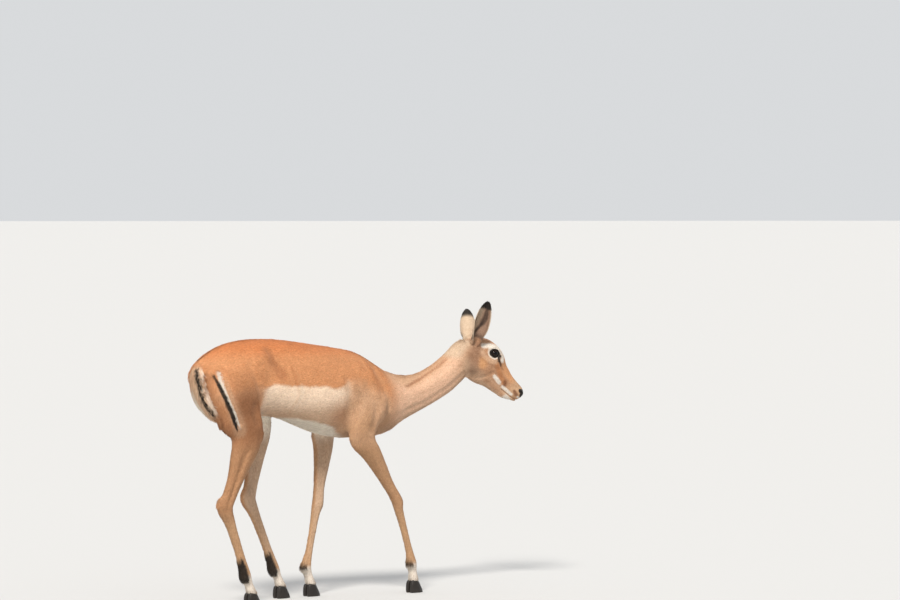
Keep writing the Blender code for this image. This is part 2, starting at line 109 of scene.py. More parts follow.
def makeStudio(s):
    scene = bpy.context.scene
    scene.world = bpy.data.worlds.new("studioSky")
    scene.world.use_nodes = True
    back = scene.world.node_tree.nodes["Background"]
    back.inputs["Color"].default_value = (*s["sky"], 1)
    back.inputs["Strength"].default_value = s["skyStrength"]
    scene.view_settings.view_transform = "Standard"
    bpy.ops.object.light_add(type="SUN", location=(0, 0, 4))  # a soft key from high on her right rear
    lamp = bpy.context.object
    lamp.name = "sunLamp"
    lamp.data.energy, lamp.data.angle = s["sunPower"], s["sunSoftness"]
    lamp.data.color = s["sunColour"]
    lamp.rotation_euler = Vector(s["sunWay"]).to_track_quat("-Z", "Y").to_euler()
    bpy.ops.mesh.primitive_plane_add(size=2 * s["floorHalf"])
    floor = bpy.context.object
    floor.name = "studioFloor"
    paint = bpy.data.materials.new("studioFloorPaint")
    paint.use_nodes = True
    shader = paint.node_tree.nodes["Principled BSDF"]
    shader.inputs["Base Color"].default_value = (*s["floorColour"], 1)
    shader.inputs["Roughness"].default_value = 0.9
    floor.data.materials.append(paint)
    camera = bpy.data.cameras.new("mainCamera")
    camera.lens, camera.sensor_width, camera.clip_end = s["lens"], 36, s["farthest"]
    eye = bpy.data.objects.new("mainCamera", camera)
    bpy.context.collection.objects.link(eye)
    eye.location = Vector(s["cameraPlace"]) + Vector(frameShift)
    eye.rotation_euler = Vector(wayTo(s["cameraYaw"], s["cameraPitch"])).to_track_quat("-Z", "Y").to_euler()
    scene.camera = eye


makeStudio(studio)
print("studio ready")


class Wire:  # one shader socket with arithmetic on it
    def __init__(self, tree, socket=None):
        self.tree, self.socket = tree, socket

    def add(self, kind, values, out=0, **settings):  # any node: its sockets' values, then its settings
        node = self.tree.nodes.new("ShaderNode" + kind)
        for name, value in settings.items():
            setattr(node, name, value)
        for name, value in values.items():
            if isinstance(value, Wire):
                self.tree.links.new(value.socket, node.inputs[name])
            else:
                node.inputs[name].default_value = value
        return Wire(self.tree, node.outputs[out])

    def maths(self, operation, first, second=0.0):
        return self.add("Math", {0: first, 1: second}, operation=operation)

    def __add__(self, other): return self.maths("ADD", self, other)
    def __radd__(self, other): return self.maths("ADD", other, self)
    def __sub__(self, other): return self.maths("SUBTRACT", self, other)
    def __rsub__(self, other): return self.maths("SUBTRACT", other, self)
    def __mul__(self, other): return self.maths("MULTIPLY", self, other)

    def between(self, low, high):  # 0 at one value, 1 at the other
        return self.add("MapRange", {"Value": self, "From Min": low, "From Max": high})

    def blend(self, first, second):  # colours, by this wire's value
        return self.add("Mix", {0: self, 6: first, 7: second}, 2, data_type="RGBA")

    def choose(self, first, second):  # vectors, by this wire's value
        return self.add("Mix", {0: self, 4: first, 5: second}, 1, data_type="VECTOR")

    def tint(self, mode, colour):
        return self.add("Mix", {0: 1.0, 6: self, 7: colour}, 2, data_type="RGBA", blend_type=mode)

    def noise(self, scale, detail=2.0, rough=0.5):  # on this wire's vector
        return self.add("TexNoise", {"Vector": self, "Scale": scale, "Detail": detail, "Roughness": rough})


def startMaterial(name, roughness, specular=None):
    material = bpy.data.materials.new(name)
    material.use_nodes = True
    shader = material.node_tree.nodes["Principled BSDF"]
    shader.inputs["Roughness"].default_value = roughness
    if specular is not None:
        shader.inputs["Specular IOR Level"].default_value = specular
    wire = Wire(material.node_tree)
    return material, shader, wire, wire.add("TexCoord", {}, 3)


def feed(shader, socket, wire):
    wire.tree.links.new(wire.socket, shader.inputs[socket])


# Numbers on many points at once
def ramp(start, full, value):  # 0 at the start, 1 where full, smooth between
    share = np.clip((value - start) / (full - start), 0, 1)
    return share * share * (3 - 2 * share)


def band(value, start, full, past, end):  # 1 from full to past, 0 outside start and end
    return ramp(start, full, value) * ramp(end, past, value)


def patch(points, atX, atZ, wideX, wideZ):  # a soft round patch seen from the side
    return np.exp(-((points[:, 0] - atX) / wideX) ** 2 - ((points[:, 2] - atZ) / wideZ) ** 2)


def column(values):
    return values[:, None]


def smoothAlong(value, stations, heights):  # a smooth curve through stations, never past their heights
    stations, heights = np.array(stations, float), np.array(heights, float)
    steps = np.diff(stations)
    slopes = np.diff(heights) / steps
    product, total = slopes[:-1] * slopes[1:], slopes[:-1] + slopes[1:]
    inner = np.where(product > 0, 2 * product / (total + 1e-12), 0)
    slopes = np.concatenate([slopes[:1], inner, slopes[-1:]])
    value = np.clip(value, stations[0], stations[-1])
    i = np.clip(np.searchsorted(stations, value, side="right") - 1, 0, len(steps) - 1)
    t = (value - stations[i]) / steps[i]
    return (heights[i] * (1 + 2 * t) * (1 - t) ** 2 + slopes[i] * steps[i] * t * (1 - t) ** 2
            + heights[i + 1] * t * t * (3 - 2 * t) - slopes[i + 1] * steps[i] * t * t * (1 - t))


def unit(vectors):
    return vectors / np.maximum(np.linalg.norm(vectors, axis=-1, keepdims=True), 1e-9)


def partAlong(vectors, ways):  # how far each vector goes along its way, as a column
    return np.sum(vectors * ways, axis=1, keepdims=True)


def latticeNoise(points, scale, seed=0):  # smooth noise between 0 and 1
    q = points * scale + seed * 17.31
    cell = np.floor(q).astype(np.int64)
    part = q - cell
    part = part * part * (3 - 2 * part)
    total = np.zeros(len(points))
    for corner in np.ndindex(2, 2, 2):
        c = cell + corner
        h = (c[:, 0] * 73856093) ^ (c[:, 1] * 19349663) ^ (c[:, 2] * 83492791) ^ (seed * 2654435)
        h = (h ^ (h >> 13)) * 1274126177
        total += ((h ^ (h >> 16)) & 65535) / 65535 * np.prod(np.where(corner, part, 1 - part), axis=1)
    return total


def headPlace(points):  # along, aside and above of points in the head's axes
    away = points - np.array(pose["noseTip"])
    return away @ headAhead, away @ headLeft, away @ headUp


def headMirror(points):  # the same with both sides of the head laid on one
    ahead, aside, above = headPlace(points)
    return np.c_[ahead, np.abs(aside), above]


def nearLine(points, line):  # distance to a line of corners, place along it in corners, and nearest point
    best, place, nearest = np.full(len(points), 1e9), np.zeros(len(points)), np.zeros((len(points), 3))
    line = np.array(line, float)
    for i, side in enumerate(np.diff(line, axis=0)):
        t = np.clip(((points - line[i]) @ side) / (side @ side), 0, 1)
        foot = line[i] + column(t) * side
        gap = np.linalg.norm(points - foot, axis=1)
        nearer = gap < best
        best, place = np.where(nearer, gap, best), np.where(nearer, i + t, place)
        nearest = np.where(column(nearer), foot, nearest)
    return best, place, nearest


def lineWay(line, place):  # unit direction of a line of corners at each place along it
    ways = unit(np.diff(np.array(line, float), axis=0))
    return ways[np.clip(place.astype(int), 0, len(ways) - 1)]


# Mesh helpers
def readMesh(items, field, width=3, kind=float):  # one field of all items, a row each
    values = np.empty(len(items) * width, dtype=kind)
    items.foreach_get(field, values)
    return values.reshape(-1, width)


def surfaceOf(mesh, points):  # for finding the nearest place on it
    return BVHTree.FromPolygons(points.tolist(), [tuple(face.vertices) for face in mesh.polygons])


def ownPoints(mesh):  # in the animal's own axes
    return readMesh(mesh.vertices, "co") - frameShift


def setOwnPoints(mesh, points):
    mesh.vertices.foreach_set("co", np.ascontiguousarray(points + frameShift).ravel())
    mesh.update()


def normalsOf(mesh):
    return readMesh(mesh.vertices, "normal")


@contextmanager
def editing(mesh):
    shape = bmesh.new()
    shape.from_mesh(mesh)
    yield shape
    shape.to_mesh(mesh)
    shape.free()


def easeMesh(mesh, weight, *rounds):  # moves each point towards its neighbours' average, by its weight
    points, edges = ownPoints(mesh), readMesh(mesh.edges, "vertices", 2, np.int32)
    count = len(points)
    ends, others = np.concatenate([edges, edges[:, ::-1]]).T
    degree = column(np.maximum(np.bincount(ends, minlength=count), 1))
    for times, *factors in rounds:  # a factor below 0 gives back the volume that the one before it took
        for factor in factors * times:
            mean = np.stack([np.bincount(ends, weights=points[others, k], minlength=count)
                             for k in range(3)], 1) / degree
            points = points + (mean - points) * column(factor * weight)
    setOwnPoints(mesh, points)


def paintPoints(mesh, name, colours):
    if name in mesh.color_attributes:
        mesh.color_attributes.remove(mesh.color_attributes[name])
    layer = mesh.color_attributes.new(name, "FLOAT_COLOR", "POINT")
    layer.data.foreach_set("color", np.c_[np.clip(colours, 0, 1), np.ones(len(colours))].ravel())


def newPiece(name, mesh, material):
    piece = bpy.data.objects.new(name, mesh)
    bpy.context.collection.objects.link(piece)
    mesh.materials.clear()
    mesh.materials.append(material)
    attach(piece, "root")
    return piece


def loftMesh(rings, name):  # closed skin over rings of an even count
    mesh = bpy.data.meshes.new(name)
    with editing(mesh) as shape:
        loops = [[shape.verts.new(point) for point in ring] for ring in rings]
        count = len(loops[0])
        for near, far in zip(loops, loops[1:]):
            for i in range(count):
                j = (i + 1) % count
                shape.faces.new((near[i], near[j], far[j], far[i]))
        for loop in (loops[0], loops[-1]):
            for i in range(count // 2 - 1):
                shape.faces.new((loop[i], loop[i + 1], loop[count - 2 - i], loop[count - 1 - i]))
        bmesh.ops.recalc_face_normals(shape, faces=shape.faces)
    return mesh


def applyModifiers(obj):
    bpy.context.view_layer.update()
    made = bpy.data.meshes.new_from_object(obj.evaluated_get(bpy.context.evaluated_depsgraph_get()))
    old = obj.data
    obj.modifiers.clear()
    obj.data = made
    bpy.data.meshes.remove(old)


# Where a point is on her body
def legPlace(points):  # nearest leg's number, place down its joints, distance, and way from its axis
    gap = np.full(len(points), 1e9)
    number, place, foot = np.zeros(len(points), int), np.zeros(len(points)), np.zeros((len(points), 3))
    for i, line in enumerate(pose["legs"].values()):
        distance, down, nearest = nearLine(points, line)
        closer = distance < gap
        gap, place = np.where(closer, distance, gap), np.where(closer, down, place)
        number, foot = np.where(closer, i, number), np.where(column(closer), nearest, foot)
    return number, place, gap, points - foot


def outerOf(number, away):  # positive on the outside of a leg: the odd numbers are the left legs
    return away[:, 1] * (number % 2 * 2 - 1)


def headShare(points, start, full, startX, fullX):  # by places along the head and ahead of the forefeet
    return ramp(start, full, headPlace(points)[0]) * ramp(startX, fullX, points[:, 0])


def bodyParts(points):  # soft shares of head, tail and leg; the rest is neck and trunk
    tailGap, tailAt, foot = nearLine(points, pose["tail"])
    tail = ramp(0.034, 0.024, tailGap) * np.maximum(ramp(-0.650, -0.662, points[:, 0]), ramp(5.0, 5.4, tailAt))
    leg = ramp(0.60, 0.50, points[:, 2]) * ramp(0.115, 0.085, legPlace(points)[2]) * (1 - tail)
    return headShare(points, -0.305, -0.262, 0.44, 0.47), tail, leg


def lieOfCoat(points, normals):  # the way the hair lies, along the skin
    x, y, z = points.T
    head, tail, leg = map(column, bodyParts(points))
    ahead, aside, above = headPlace(points)
    number, legAt, legGap, away = legPlace(points)
    tailGap, tailAt, foot = nearLine(points, pose["tail"])
    legWay = np.zeros_like(points)
    for i, line in enumerate(pose["legs"].values()):
        legWay = np.where(column(number == i), lineWay(line, legAt), legWay)
    cheek = column(ramp(-0.10, -0.18, ahead) * ramp(0.0, -0.07, above))
    neckWay = unit((0, 0, -0.30) - lineWay(pose["spine"], nearLine(points, pose["spine"])[1]))
    way = np.tile([-1.0, 0, -0.28], (len(points), 1))
    for share, other in (
            (column(ramp(-0.40, -0.50, x) * ramp(0.84, 0.66, z)), np.array([-0.42, 0, -1.0])),  # thigh
            (column(band(x, -0.12, -0.05, 0.08, 0.16) * ramp(0.80, 0.66, z)), np.array([-0.50, 0, -0.9]))):
        way = way * (1 - share) + other * share
    way = unit(way)
    for share, other in (
            (column(ramp(0.10, 0.22, x)), neckWay),
            (leg, legWay + away * 2.5),
            (head, -headAhead - headUp * 0.45 * cheek + headLeft * column(np.sign(aside) * 0.12)),
            (tail, lineWay(pose["tail"], tailAt) + unit(points - foot) * 0.35)):
        way = way * (1 - share) + other * share
    return unit(way - normals * partAlong(way, normals))


# Skin: the flesh nodes joined, drawn in by the coat's depth and shaped
skinForm = {
    "grain": 0.0055,  # spacing of the skin's points before the head is refined
    "cutCover": 0.0004,  # each node swells by this, which closes the cuts between them
    "trunkDepth": 0.0032, "neckDepth": 0.0028, "headDepth": 0.001, "legDepth": 0.001, "tailDepth": 0.0045,
    "tailSpread": 0.38, "ribSpacing": 0.036, "ribLift": 0.00025, "cleftDepth": 0.0045,
    "lidLift": 0.0013, "eyeHalfLength": 0.0176, "eyeHalfHeight": 0.0134, "eyeTilt": math.radians(30),
}
fleshNodes = ["head", "neck", "trunk", "tail"] + [f"{end}{part}_{hand}" for end in ("fore", "hind")
                                                 for part in ("leg", "foot") for hand in ("right", "left")]


def joinFlesh():
    whole = bmesh.new()
    for node in fleshNodes:
        mesh = bpy.data.objects[node].data.copy()
        with editing(mesh) as part:
            bmesh.ops.remove_doubles(part, verts=part.verts, dist=1e-6)
            part.normal_update()
            for vertex in part.verts:
                vertex.co += vertex.normal * skinForm["cutCover"]
        whole.from_mesh(mesh)
        bpy.data.meshes.remove(mesh)
    mesh = bpy.data.meshes.new("skin")
    whole.to_mesh(mesh)
    whole.free()
    return mesh


def keepOutside(mesh):  # drops the small closed pockets inside the body
    with editing(mesh) as shape:
        seen, groups = set(), []
        for start in shape.verts:
            if start in seen:
                continue
            group, queue = [], [start]
            seen.add(start)
            while queue:
                vertex = queue.pop()
                group.append(vertex)
                for edge in vertex.link_edges:
                    other = edge.other_vert(vertex)
                    if other not in seen:
                        seen.add(other)
                        queue.append(other)
            groups.append(group)
        for group in sorted(groups, key=len)[:-1]:
            bmesh.ops.delete(shape, geom=group, context="VERTS")


def refineNear(mesh, chosen):
    with editing(mesh) as shape:
        edges = [edge for edge in shape.edges if all(chosen[vertex.index] for vertex in edge.verts)]
        bmesh.ops.subdivide_edges(shape, edges=edges, cuts=1, use_grid_fill=True)
        bmesh.ops.triangulate(shape, faces=[face for face in shape.faces if len(face.verts) > 4])


def makeSkinBase():
    skin = bpy.data.objects.new("skin", joinFlesh())
    bpy.context.collection.objects.link(skin)
    grain = skin.modifiers.new("grain", "REMESH")
    grain.mode, grain.voxel_size = "VOXEL", skinForm["grain"]
    applyModifiers(skin)
    mesh = skin.data
    keepOutside(mesh)
    points = ownPoints(mesh)
    weight = 0.35 + 0.65 * ramp(0.42, 0.60, points[:, 2])
    weight = weight * (1 - 0.35 * headShare(points, -0.32, -0.27, 0.45, 0.50))
    easeMesh(mesh, weight, (20, 0.55, -0.45), (3, 0.5))
    points = ownPoints(mesh)  # the head gets finer, and the eyes, nose and mouth finer still
    refineNear(mesh, (headPlace(points)[0] > -0.29) & (points[:, 0] > 0.43))
    points = ownPoints(mesh)
    eyeGap = np.minimum(*[np.linalg.norm(points - eyePlace(side), axis=1) for side in (-1, 1)])
    refineNear(mesh, (eyeGap < 0.031) | (headPlace(points)[0] > -0.072) & (points[:, 0] > 0.43))
    easeMesh(mesh, headShare(ownPoints(mesh), -0.31, -0.28, 0.45, 0.48), (5, 0.5))
    return skin


def drawIn(points, normals):  # by the coat's depth, so that its tips reach the true outline
    f = skinForm
    head, tail, leg = bodyParts(points)
    depth = f["trunkDepth"] + (f["neckDepth"] - f["trunkDepth"]) * ramp(0.1, 0.2, points[:, 0])
    for share, name in ((leg, "legDepth"), (head, "headDepth"), (tail, "tailDepth")):
        depth = depth + (f[name] - depth) * share
    points = points - normals * column(depth)
    tailGap, tailAt, foot = nearLine(points, pose["tail"])  # the brush of the tail is flat and broad
    points[:, 1] += (points[:, 1] - foot[:, 1]) * f["tailSpread"] * tail * band(tailAt, 1.4, 2.4, 5.2, 6.2)
    return points


# Each press: its line of corners, half width, and lift (+) or sink (-); all but the neck's are mirrored.
bodyPresses = mm((
    (((35, 60, 825), (46, 85, 760), (52, 98, 695)), 20, 2.6),  # shoulder blade
    (((5, 90, 790), (12, 108, 720)), 30, -2.4),
    (((82, 70, 790), (96, 83, 725), (106, 80, 655)), 30, -3.6),
    (((78, 92, 668), (80, 94, 655)), 38, 3.2),  # point of the shoulder
    (((-18, 115, 660), (-28, 118, 625)), 46, 3.4),  # triceps
    (((-88, 108, 745), (-82, 114, 680), (-80, 112, 620), (-84, 100, 572)), 26, -3.8),
    (((30, 116, 650), (14, 120, 610), (-6, 118, 575)), 22, -2.4),
    (((-395, 92, 800), (-405, 98, 770)), 50, -5.6),  # hollow of the flank
    (((-410, 67, 855), (-409, 91, 824), (-388, 95, 797), (-367, 102, 773)), 16, -2),
    (((-452, 92, 842), (-462, 96, 828)), 24, 4.6),  # hip bone
    (((-330, 112, 800), (-300, 118, 710), (-312, 85, 640)), 12, 2),  # last rib
    (((-655, 45, 780), (-652, 52, 768)), 22, 3),  # pin bone
    (((-610, 90, 815), (-596, 122, 720), (-566, 127, 620)), 14, -3.6),
    (((-500, 112, 820), (-475, 118, 740), (-455, 110, 680)), 20, -2.6),
    (((-100, 0, 860), (-300, 0, 889), (-520, 0, 884), (-640, 0, 832)), 13, 1.6),  # backbone
    (((160, 0, 780), (230, -4, 762), (310, -14, 776), (400, -24, 822)), 12, 2.2),
))
neckPresses = {  # the neck bends, so each side has its own lines
    -1: mm(((((205, -50, 712), (270, -45, 737), (320, -42, 763), (363, -45, 787), (397, -50, 814)), 10, -3),
            (((452, -74, 752), (380, -62, 700), (290, -52, 655), (200, -56, 625)), 13, -3.2),
            (((430, -72, 800), (350, -62, 735), (250, -55, 695)), 18, 1.4))),
    1: mm(((((205, 45, 712), (270, 30, 737), (320, 26, 763), (363, 20, 787), (397, 16, 818)), 10, -3),
           (((452, 16, 752), (380, 26, 700), (290, 38, 655), (200, 50, 625)), 13, -3.2),
           (((430, 18, 800), (350, 30, 735), (250, 44, 695)), 18, 1.4))),
}
headPresses = mm((  # in the head's axes
    (((-160, 48, -24), (-200, 52, -34), (-246, 46, -40)), 11, 2.2),  # cheekbone
    (((-198, 47, -78), (-215, 46, -86)), 30, 2.6),  # jaw muscle
    (((-150, 42, -50), (-158, 38, -80), (-172, 30, -104)), 11, -2.4),
    (((-100, 34, -34), (-140, 43, -45)), 13, -1.6),
    (((-176, 49, 2), (-162, 49, -6), (-143, 43, -12)), 4.2, -1.6),  # tear line
    (((-244, 44, 10), (-250, 44, -2)), 16, -2.8),  # temple
    (((-184, 36, 26), (-212, 41, 24), (-228, 42, 14)), 9, 2),  # brow
    (((-205, 0, 37), (-180, 0, 38)), 14, -1.4),
    (((-40, 16, 1), (-110, 22, 10)), 8, 1.2),  # edge of the nose bone
    (((-26, 23, -26), (-50, 26, -34)), 12, 1.2),  # whisker pad
    (((-34, 21, -16), (-60, 26, -20)), 7, -1.4),
    (((-7.5, 9.5, -24), (-6.5, 14, -16.5), (-14, 18.8, -10.5), (-23.5, 20.5, -12.5)), 6.2, 1.6),  # nostril
    (((-6, 9, -23.5), (-6.5, 14, -17), (-14, 19, -12.5), (-22.5, 20.5, -14.5)), 3.3, -8.5),  # its slit
    (((-2, 0, -12), (-3, 0, -30), (-8, 0, -40)), 2.2, -1.6),
    (((-5, 0, -42.5), (-14, 12.5, -49), (-30, 20, -54.8), (-52, 24, -59.2), (-78, 26.2, -63.2)),
     2.5, -4),  # mouth
    (((-9, 0, -49), (-18, 10, -56.5), (-36, 17.5, -65)), 6, 1.2),
    (((-48, 16, -76.5), (-62, 20, -80)), 13, 1.6),  # chin
))
legPresses = [  # places down the joints, way round from the front and half spread in degrees, lift
    ("fore", (1.05, 1.8), 100, 16, -0.0022), ("fore", (1, 1.7), 45, 18, -0.0012),
    ("fore", (1.9, 2.06), 60, 30, 0.001), ("fore", (2.2, 2.92), 112, 20, -0.0024),
    ("fore", (2.96, 3.08), 140, 30, 0.0016), ("fore", (3.15, 3.6), 90, 40, -0.0008),
    ("hind", (1.2, 1.86), 118, 26, -0.005), ("hind", (1, 1.6), 40, 22, -0.0014),
    ("hind", (1.94, 2.05), 70, 30, 0.0016), ("hind", (2.18, 2.92), 112, 20, -0.0026),
    ("hind", (2.96, 3.08), 140, 30, 0.0016), ("hind", (3.15, 3.6), 90, 40, -0.0008),
]


def settle(line, surface, step=0.004):  # a line of corners laid down on the skin
    line = [Vector(corner) for corner in line]
    laid = []
    for near, far in zip(line, line[1:]):
        count = max(1, math.ceil((far - near).length / step))
        laid += [near.lerp(far, i / count) for i in range(count)]
    return np.array([surface.find_nearest(corner)[0] for corner in laid + [line[-1]]])


def press(points, normals, line, width, lift, surface):
    laid = settle(line, surface)
    reach = np.all((points > laid.min(axis=0) - width) & (points < laid.max(axis=0) + width), axis=1)
    gap = nearLine(points[reach], laid)[0]
    points = points.copy()
    points[reach] += normals[reach] * column(lift * (1 - ramp(0.15, 1, gap / width)))
    return points


def shapeBody(points, normals, surface):
    lines = []
    for side in (-1, 1):
        for line, width, lift in bodyPresses:
            if side > 0 or any(corner[1] > 0 for corner in line):  # a line along the middle is pressed once
                lines.append(([(x, side * y, z) for x, y, z in line], width, lift))
        lines += neckPresses[side]
        for line, width, lift in headPresses:
            lines.append(([inHead(along, side * aside, above) for along, aside, above in line], width, lift))
    for name in ("hind_right", "hind_left"):  # knee cap and the fold from it to the flank
        knee = np.array(pose["legs"][name][1])
        out = np.sign(knee[1])
        cap = knee + (0.03, 0.01 * out, 0.004)
        hollow = knee + (0.006, 0.03 * out, 0.045)
        lines += [([cap, cap + (0.004, 0, -0.014)], 0.022, 0.0034),
                  ([hollow, hollow + (-0.012, 0, 0.05)], 0.024, -0.0024)]
    for line, width, lift in lines:
        points = press(points, normals, line, width, lift, surface)
    x, y, z = points.T
    ribs = np.sin((x - 0.30 * (z - 0.70)) * 2 * math.pi / skinForm["ribSpacing"])
    ribs = ribs * band(x, -0.345, -0.30, -0.13, -0.08) * band(z, 0.60, 0.66, 0.77, 0.83)
    return points + normals * column(skinForm["ribLift"] * ribs)


def shapeLegs(points, normals):
    number, place, gap, away = legPlace(points)
    for i, (name, line) in enumerate(pose["legs"].items()):
        axis = lineWay(line, place)
        front = unit(np.array([1.0, 0, 0]) - axis * axis[:, :1])
        outer = np.cross(axis, front)
        outer = outer * np.sign(outer[:, 1:2] * (-1 if "right" in name else 1))
        angle = np.abs(np.degrees(np.arctan2(np.sum(away * outer, axis=1), np.sum(away * front, axis=1))))
        mine = (number == i) * ramp(0.56, 0.50, points[:, 2])
        for end, (start, stop), way, spread, lift in legPresses:
            if name.startswith(end):
                fade = band(place, start - 0.12, start + 0.06, stop - 0.06, stop + 0.12)
                side = 1 - ramp(0.2, 1, np.abs(angle - way) / spread)
                points = points + normals * column(lift * fade * side * mine)
        cleft = ramp(3.55, 4.1, place) * (1 - ramp(8, 30, np.minimum(angle, 180 - angle)))
        points = points - normals * column(skinForm["cleftDepth"] * cleft * mine)
    return points


def eyeAxes(side):
    outward = unit(headLeft * side * 0.97 + headAhead * 0.12 + headUp * 0.18)
    tilt = skinForm["eyeTilt"]
    long = headAhead * math.cos(tilt) + headUp * math.sin(tilt)
    long = unit(long - outward * (long @ outward))
    high = np.cross(long, outward)
    return outward, long, high * (1 if high @ headUp > 0 else -1)


def eyeMeasure(points, side):  # 1 on the edge of the lids, less inside; then places along the eye's axes
    outward, long, high = eyeAxes(side)
    away = points - eyePlace(side)
    p, q, out = away @ long, away @ high, away @ outward
    taper = skinForm["eyeHalfHeight"] * (1 - 0.22 * ramp(0, 0.016, p))  # narrower to the front corner
    shape = np.sqrt((p / skinForm["eyeHalfLength"]) ** 2 + (q / taper) ** 2)
    return np.where((out > -0.022) & (out < 0.03), shape, 9), p, q, out


def shapeEyes(points):  # the skin rises over the ball as lids, and turns in under it at their edge
    rise = pose["eyeRadius"] + skinForm["lidLift"]
    for side in (-1, 1):
        shape, p, q, out = eyeMeasure(points, side)
        wide = np.sqrt(p ** 2 + q ** 2)
        ball = np.sqrt(np.maximum(rise ** 2 - wide ** 2, 0))
        lid = (ball + out + np.sqrt((ball - out) ** 2 + 0.0035 ** 2)) / 2
        brow = 0.0026 * np.exp(-(((wide - 0.0225) / 0.006) ** 2)) * ramp(0.002, 0.014, q)
        cheek = 0.0012 * np.exp(-(((wide - 0.0225) / 0.005) ** 2)) * ramp(-0.002, -0.012, q)
        fold = -0.0012 * (1 - ramp(0, 0.17, np.abs(shape - 1.4))) * ramp(-0.001, 0.005, q)
        edge = 0.0005 * (1 - ramp(0, 0.14, np.abs(shape - 1.1)))
        lid = lid + (brow + cheek + fold + edge) * ramp(0.036, 0.026, wide) - 0.0048 * ramp(1, 0.82, shape)
        near = (wide < 0.036) & (shape < 8)
        lifted = points + eyeAxes(side)[0] * column((lid - out) * ramp(0.036, 0.027, wide))
        points = np.where(column(near), lifted, points)
    return points


earForm = {  # share of the length, half width, half cup in degrees
    "stations": ((0, .0205, 150), (.12, .0222, 144), (.24, .0252, 120), (.38, .0281, 98), (.51, .0289, 82),
                 (.65, .0268, 70), (.79, .0218, 60), (.90, .0156, 52), (.97, .0094, 46), (1, .0038, 42)),
    "rings": 44, "sides": 25, "wall": 0.0017, "cadWall": 0.0042, "foldHeight": 0.0011,
}


def earAxes(side):
    along, aside, above = pose["earRootInHead"]
    root = inHead(along, side * aside, above)
    tip, opening = map(np.array, pose["ears"][side])
    axis = unit(tip - root)
    return root, tip, axis, unit(opening - axis * (opening @ axis))


def earSection(share):  # half width, half cup in radians, and radius at a share of the length
    shares, widths, cups = np.array(earForm["stations"]).T
    width, cup = smoothAlong(share, shares, widths), np.radians(smoothAlong(share, shares, cups))
    return width, cup, width / np.sin(np.minimum(cup, math.pi / 2))


def makeEar(side):
    f = earForm
    root, tip, axis, opening = earAxes(side)
    aside = np.cross(axis, opening)
    rings = []
    for share in np.concatenate([[-0.16, -0.12, -0.08, -0.04], np.linspace(0, 0.992, f["rings"])]):
        inside = min(share, 0)  # the root runs in under the skin, and narrows there
        width, cup, radius = earSection(share)
        width, radius = width * (1 + 1.6 * inside), radius * (1 + 1.6 * inside)
        centre = root + (tip - root) * share + opening * (radius - width * 0.5)
        centre = centre + headLeft * side * 0.10 * inside
        radius = radius - (f["cadWall"] - f["wall"]) * 0.35 * min(1, width / 0.012)
        turn = np.linspace(-1, 1, f["sides"])
        folds = np.clip(np.cos(cup * turn * 5.2), 0, 1) * ramp(1, 0.6, np.abs(turn))  # three low ones inside
        folds = f["foldHeight"] * folds * band(share, 0.1, 0.4, 0.5, 0.85)
        inner = radius - min(f["wall"], width * 0.4) - folds
        ring = []
        for layer, size in ((1, np.full(len(turn), radius)), (-1, inner)):
            spin = cup * turn * layer
            ring += [centre - opening * math.cos(s) * r + aside * math.sin(s) * r for s, r in zip(spin, size)]
        rings.append(ring)
    return loftMesh(rings, "ear")


def joinEars(skin):
    for side in (-1, 1):
        mesh = makeEar(side)
        setOwnPoints(mesh, readMesh(mesh.vertices, "co"))
        ear = bpy.data.objects.new("earHelper", mesh)
        bpy.context.collection.objects.link(ear)
        join = skin.modifiers.new("join", "BOOLEAN")
        join.object, join.operation, join.solver = ear, "UNION", "MANIFOLD"
        applyModifiers(skin)
        bpy.data.objects.remove(ear)
        bpy.data.meshes.remove(mesh)
    with editing(skin.data) as shape:
        loose = [vertex for vertex in shape.verts if len(vertex.link_edges) == 2]
        bmesh.ops.dissolve_verts(shape, verts=loose)  # each would leave a doubled face
    points = ownPoints(skin.data)
    weight = np.zeros(len(points))
    for side in (-1, 1):
        root, tip, axis, opening = earAxes(side)
        height = (points - root) @ axis
        wide = np.linalg.norm(points - root - column(height) * axis, axis=1)
        weight = np.maximum(weight, ramp(0.042, 0.030, wide) * band(height, -0.020, -0.004, 0.028, 0.048))
    easeMesh(skin.data, weight, (18, 0.5))


def earPlace(points, side):  # height share, sideways, and whether on the inside of the cup and on the ear
    root, tip, axis, opening = earAxes(side)
    away = points - root
    share = (away @ axis) / np.linalg.norm(tip - root)
    width, cup, radius = earSection(share)
    middle = away - column(away @ axis) * axis - opening * column(radius - width * 0.5)
    gap = np.linalg.norm(middle, axis=1)
    spin = np.arctan2(middle @ np.cross(axis, opening), -(middle @ opening)) / cup
    isEar = ramp(0.13, 0.19, share) * (np.abs(gap - radius) < 0.0075)
    return share, spin, (gap < radius - 0.0021).astype(float), isEar


def makeSkin():
    skin = makeSkinBase()
    mesh = skin.data
    points = drawIn(ownPoints(mesh), normalsOf(mesh))
    setOwnPoints(mesh, points)
    normals = normalsOf(mesh)
    points = shapeEyes(shapeLegs(shapeBody(points, normals, surfaceOf(mesh, points)), normals))
    setOwnPoints(mesh, points)
    joinEars(skin)
    skin.data.shade_smooth()
    return skin


skin = makeSkin()
skinPoints = ownPoints(skin.data)
print("skin", len(skinPoints), "points", sum(len(f.vertices) - 2 for f in skin.data.polygons), "triangles")


# Eyes: a dark ball with a brown iris and a level pupil under a wet front
eyeForm = {
    "segments": 96, "rings": 64, "bulge": 0.0011, "inset": 0.0003,
    "iris": (0.012, 0.0055, 0.003), "rim": (0.006, 0.004, 0.003), "pupil": (0.0015, 0.0015, 0.002),
    "white": (0.05, 0.032, 0.026),
}


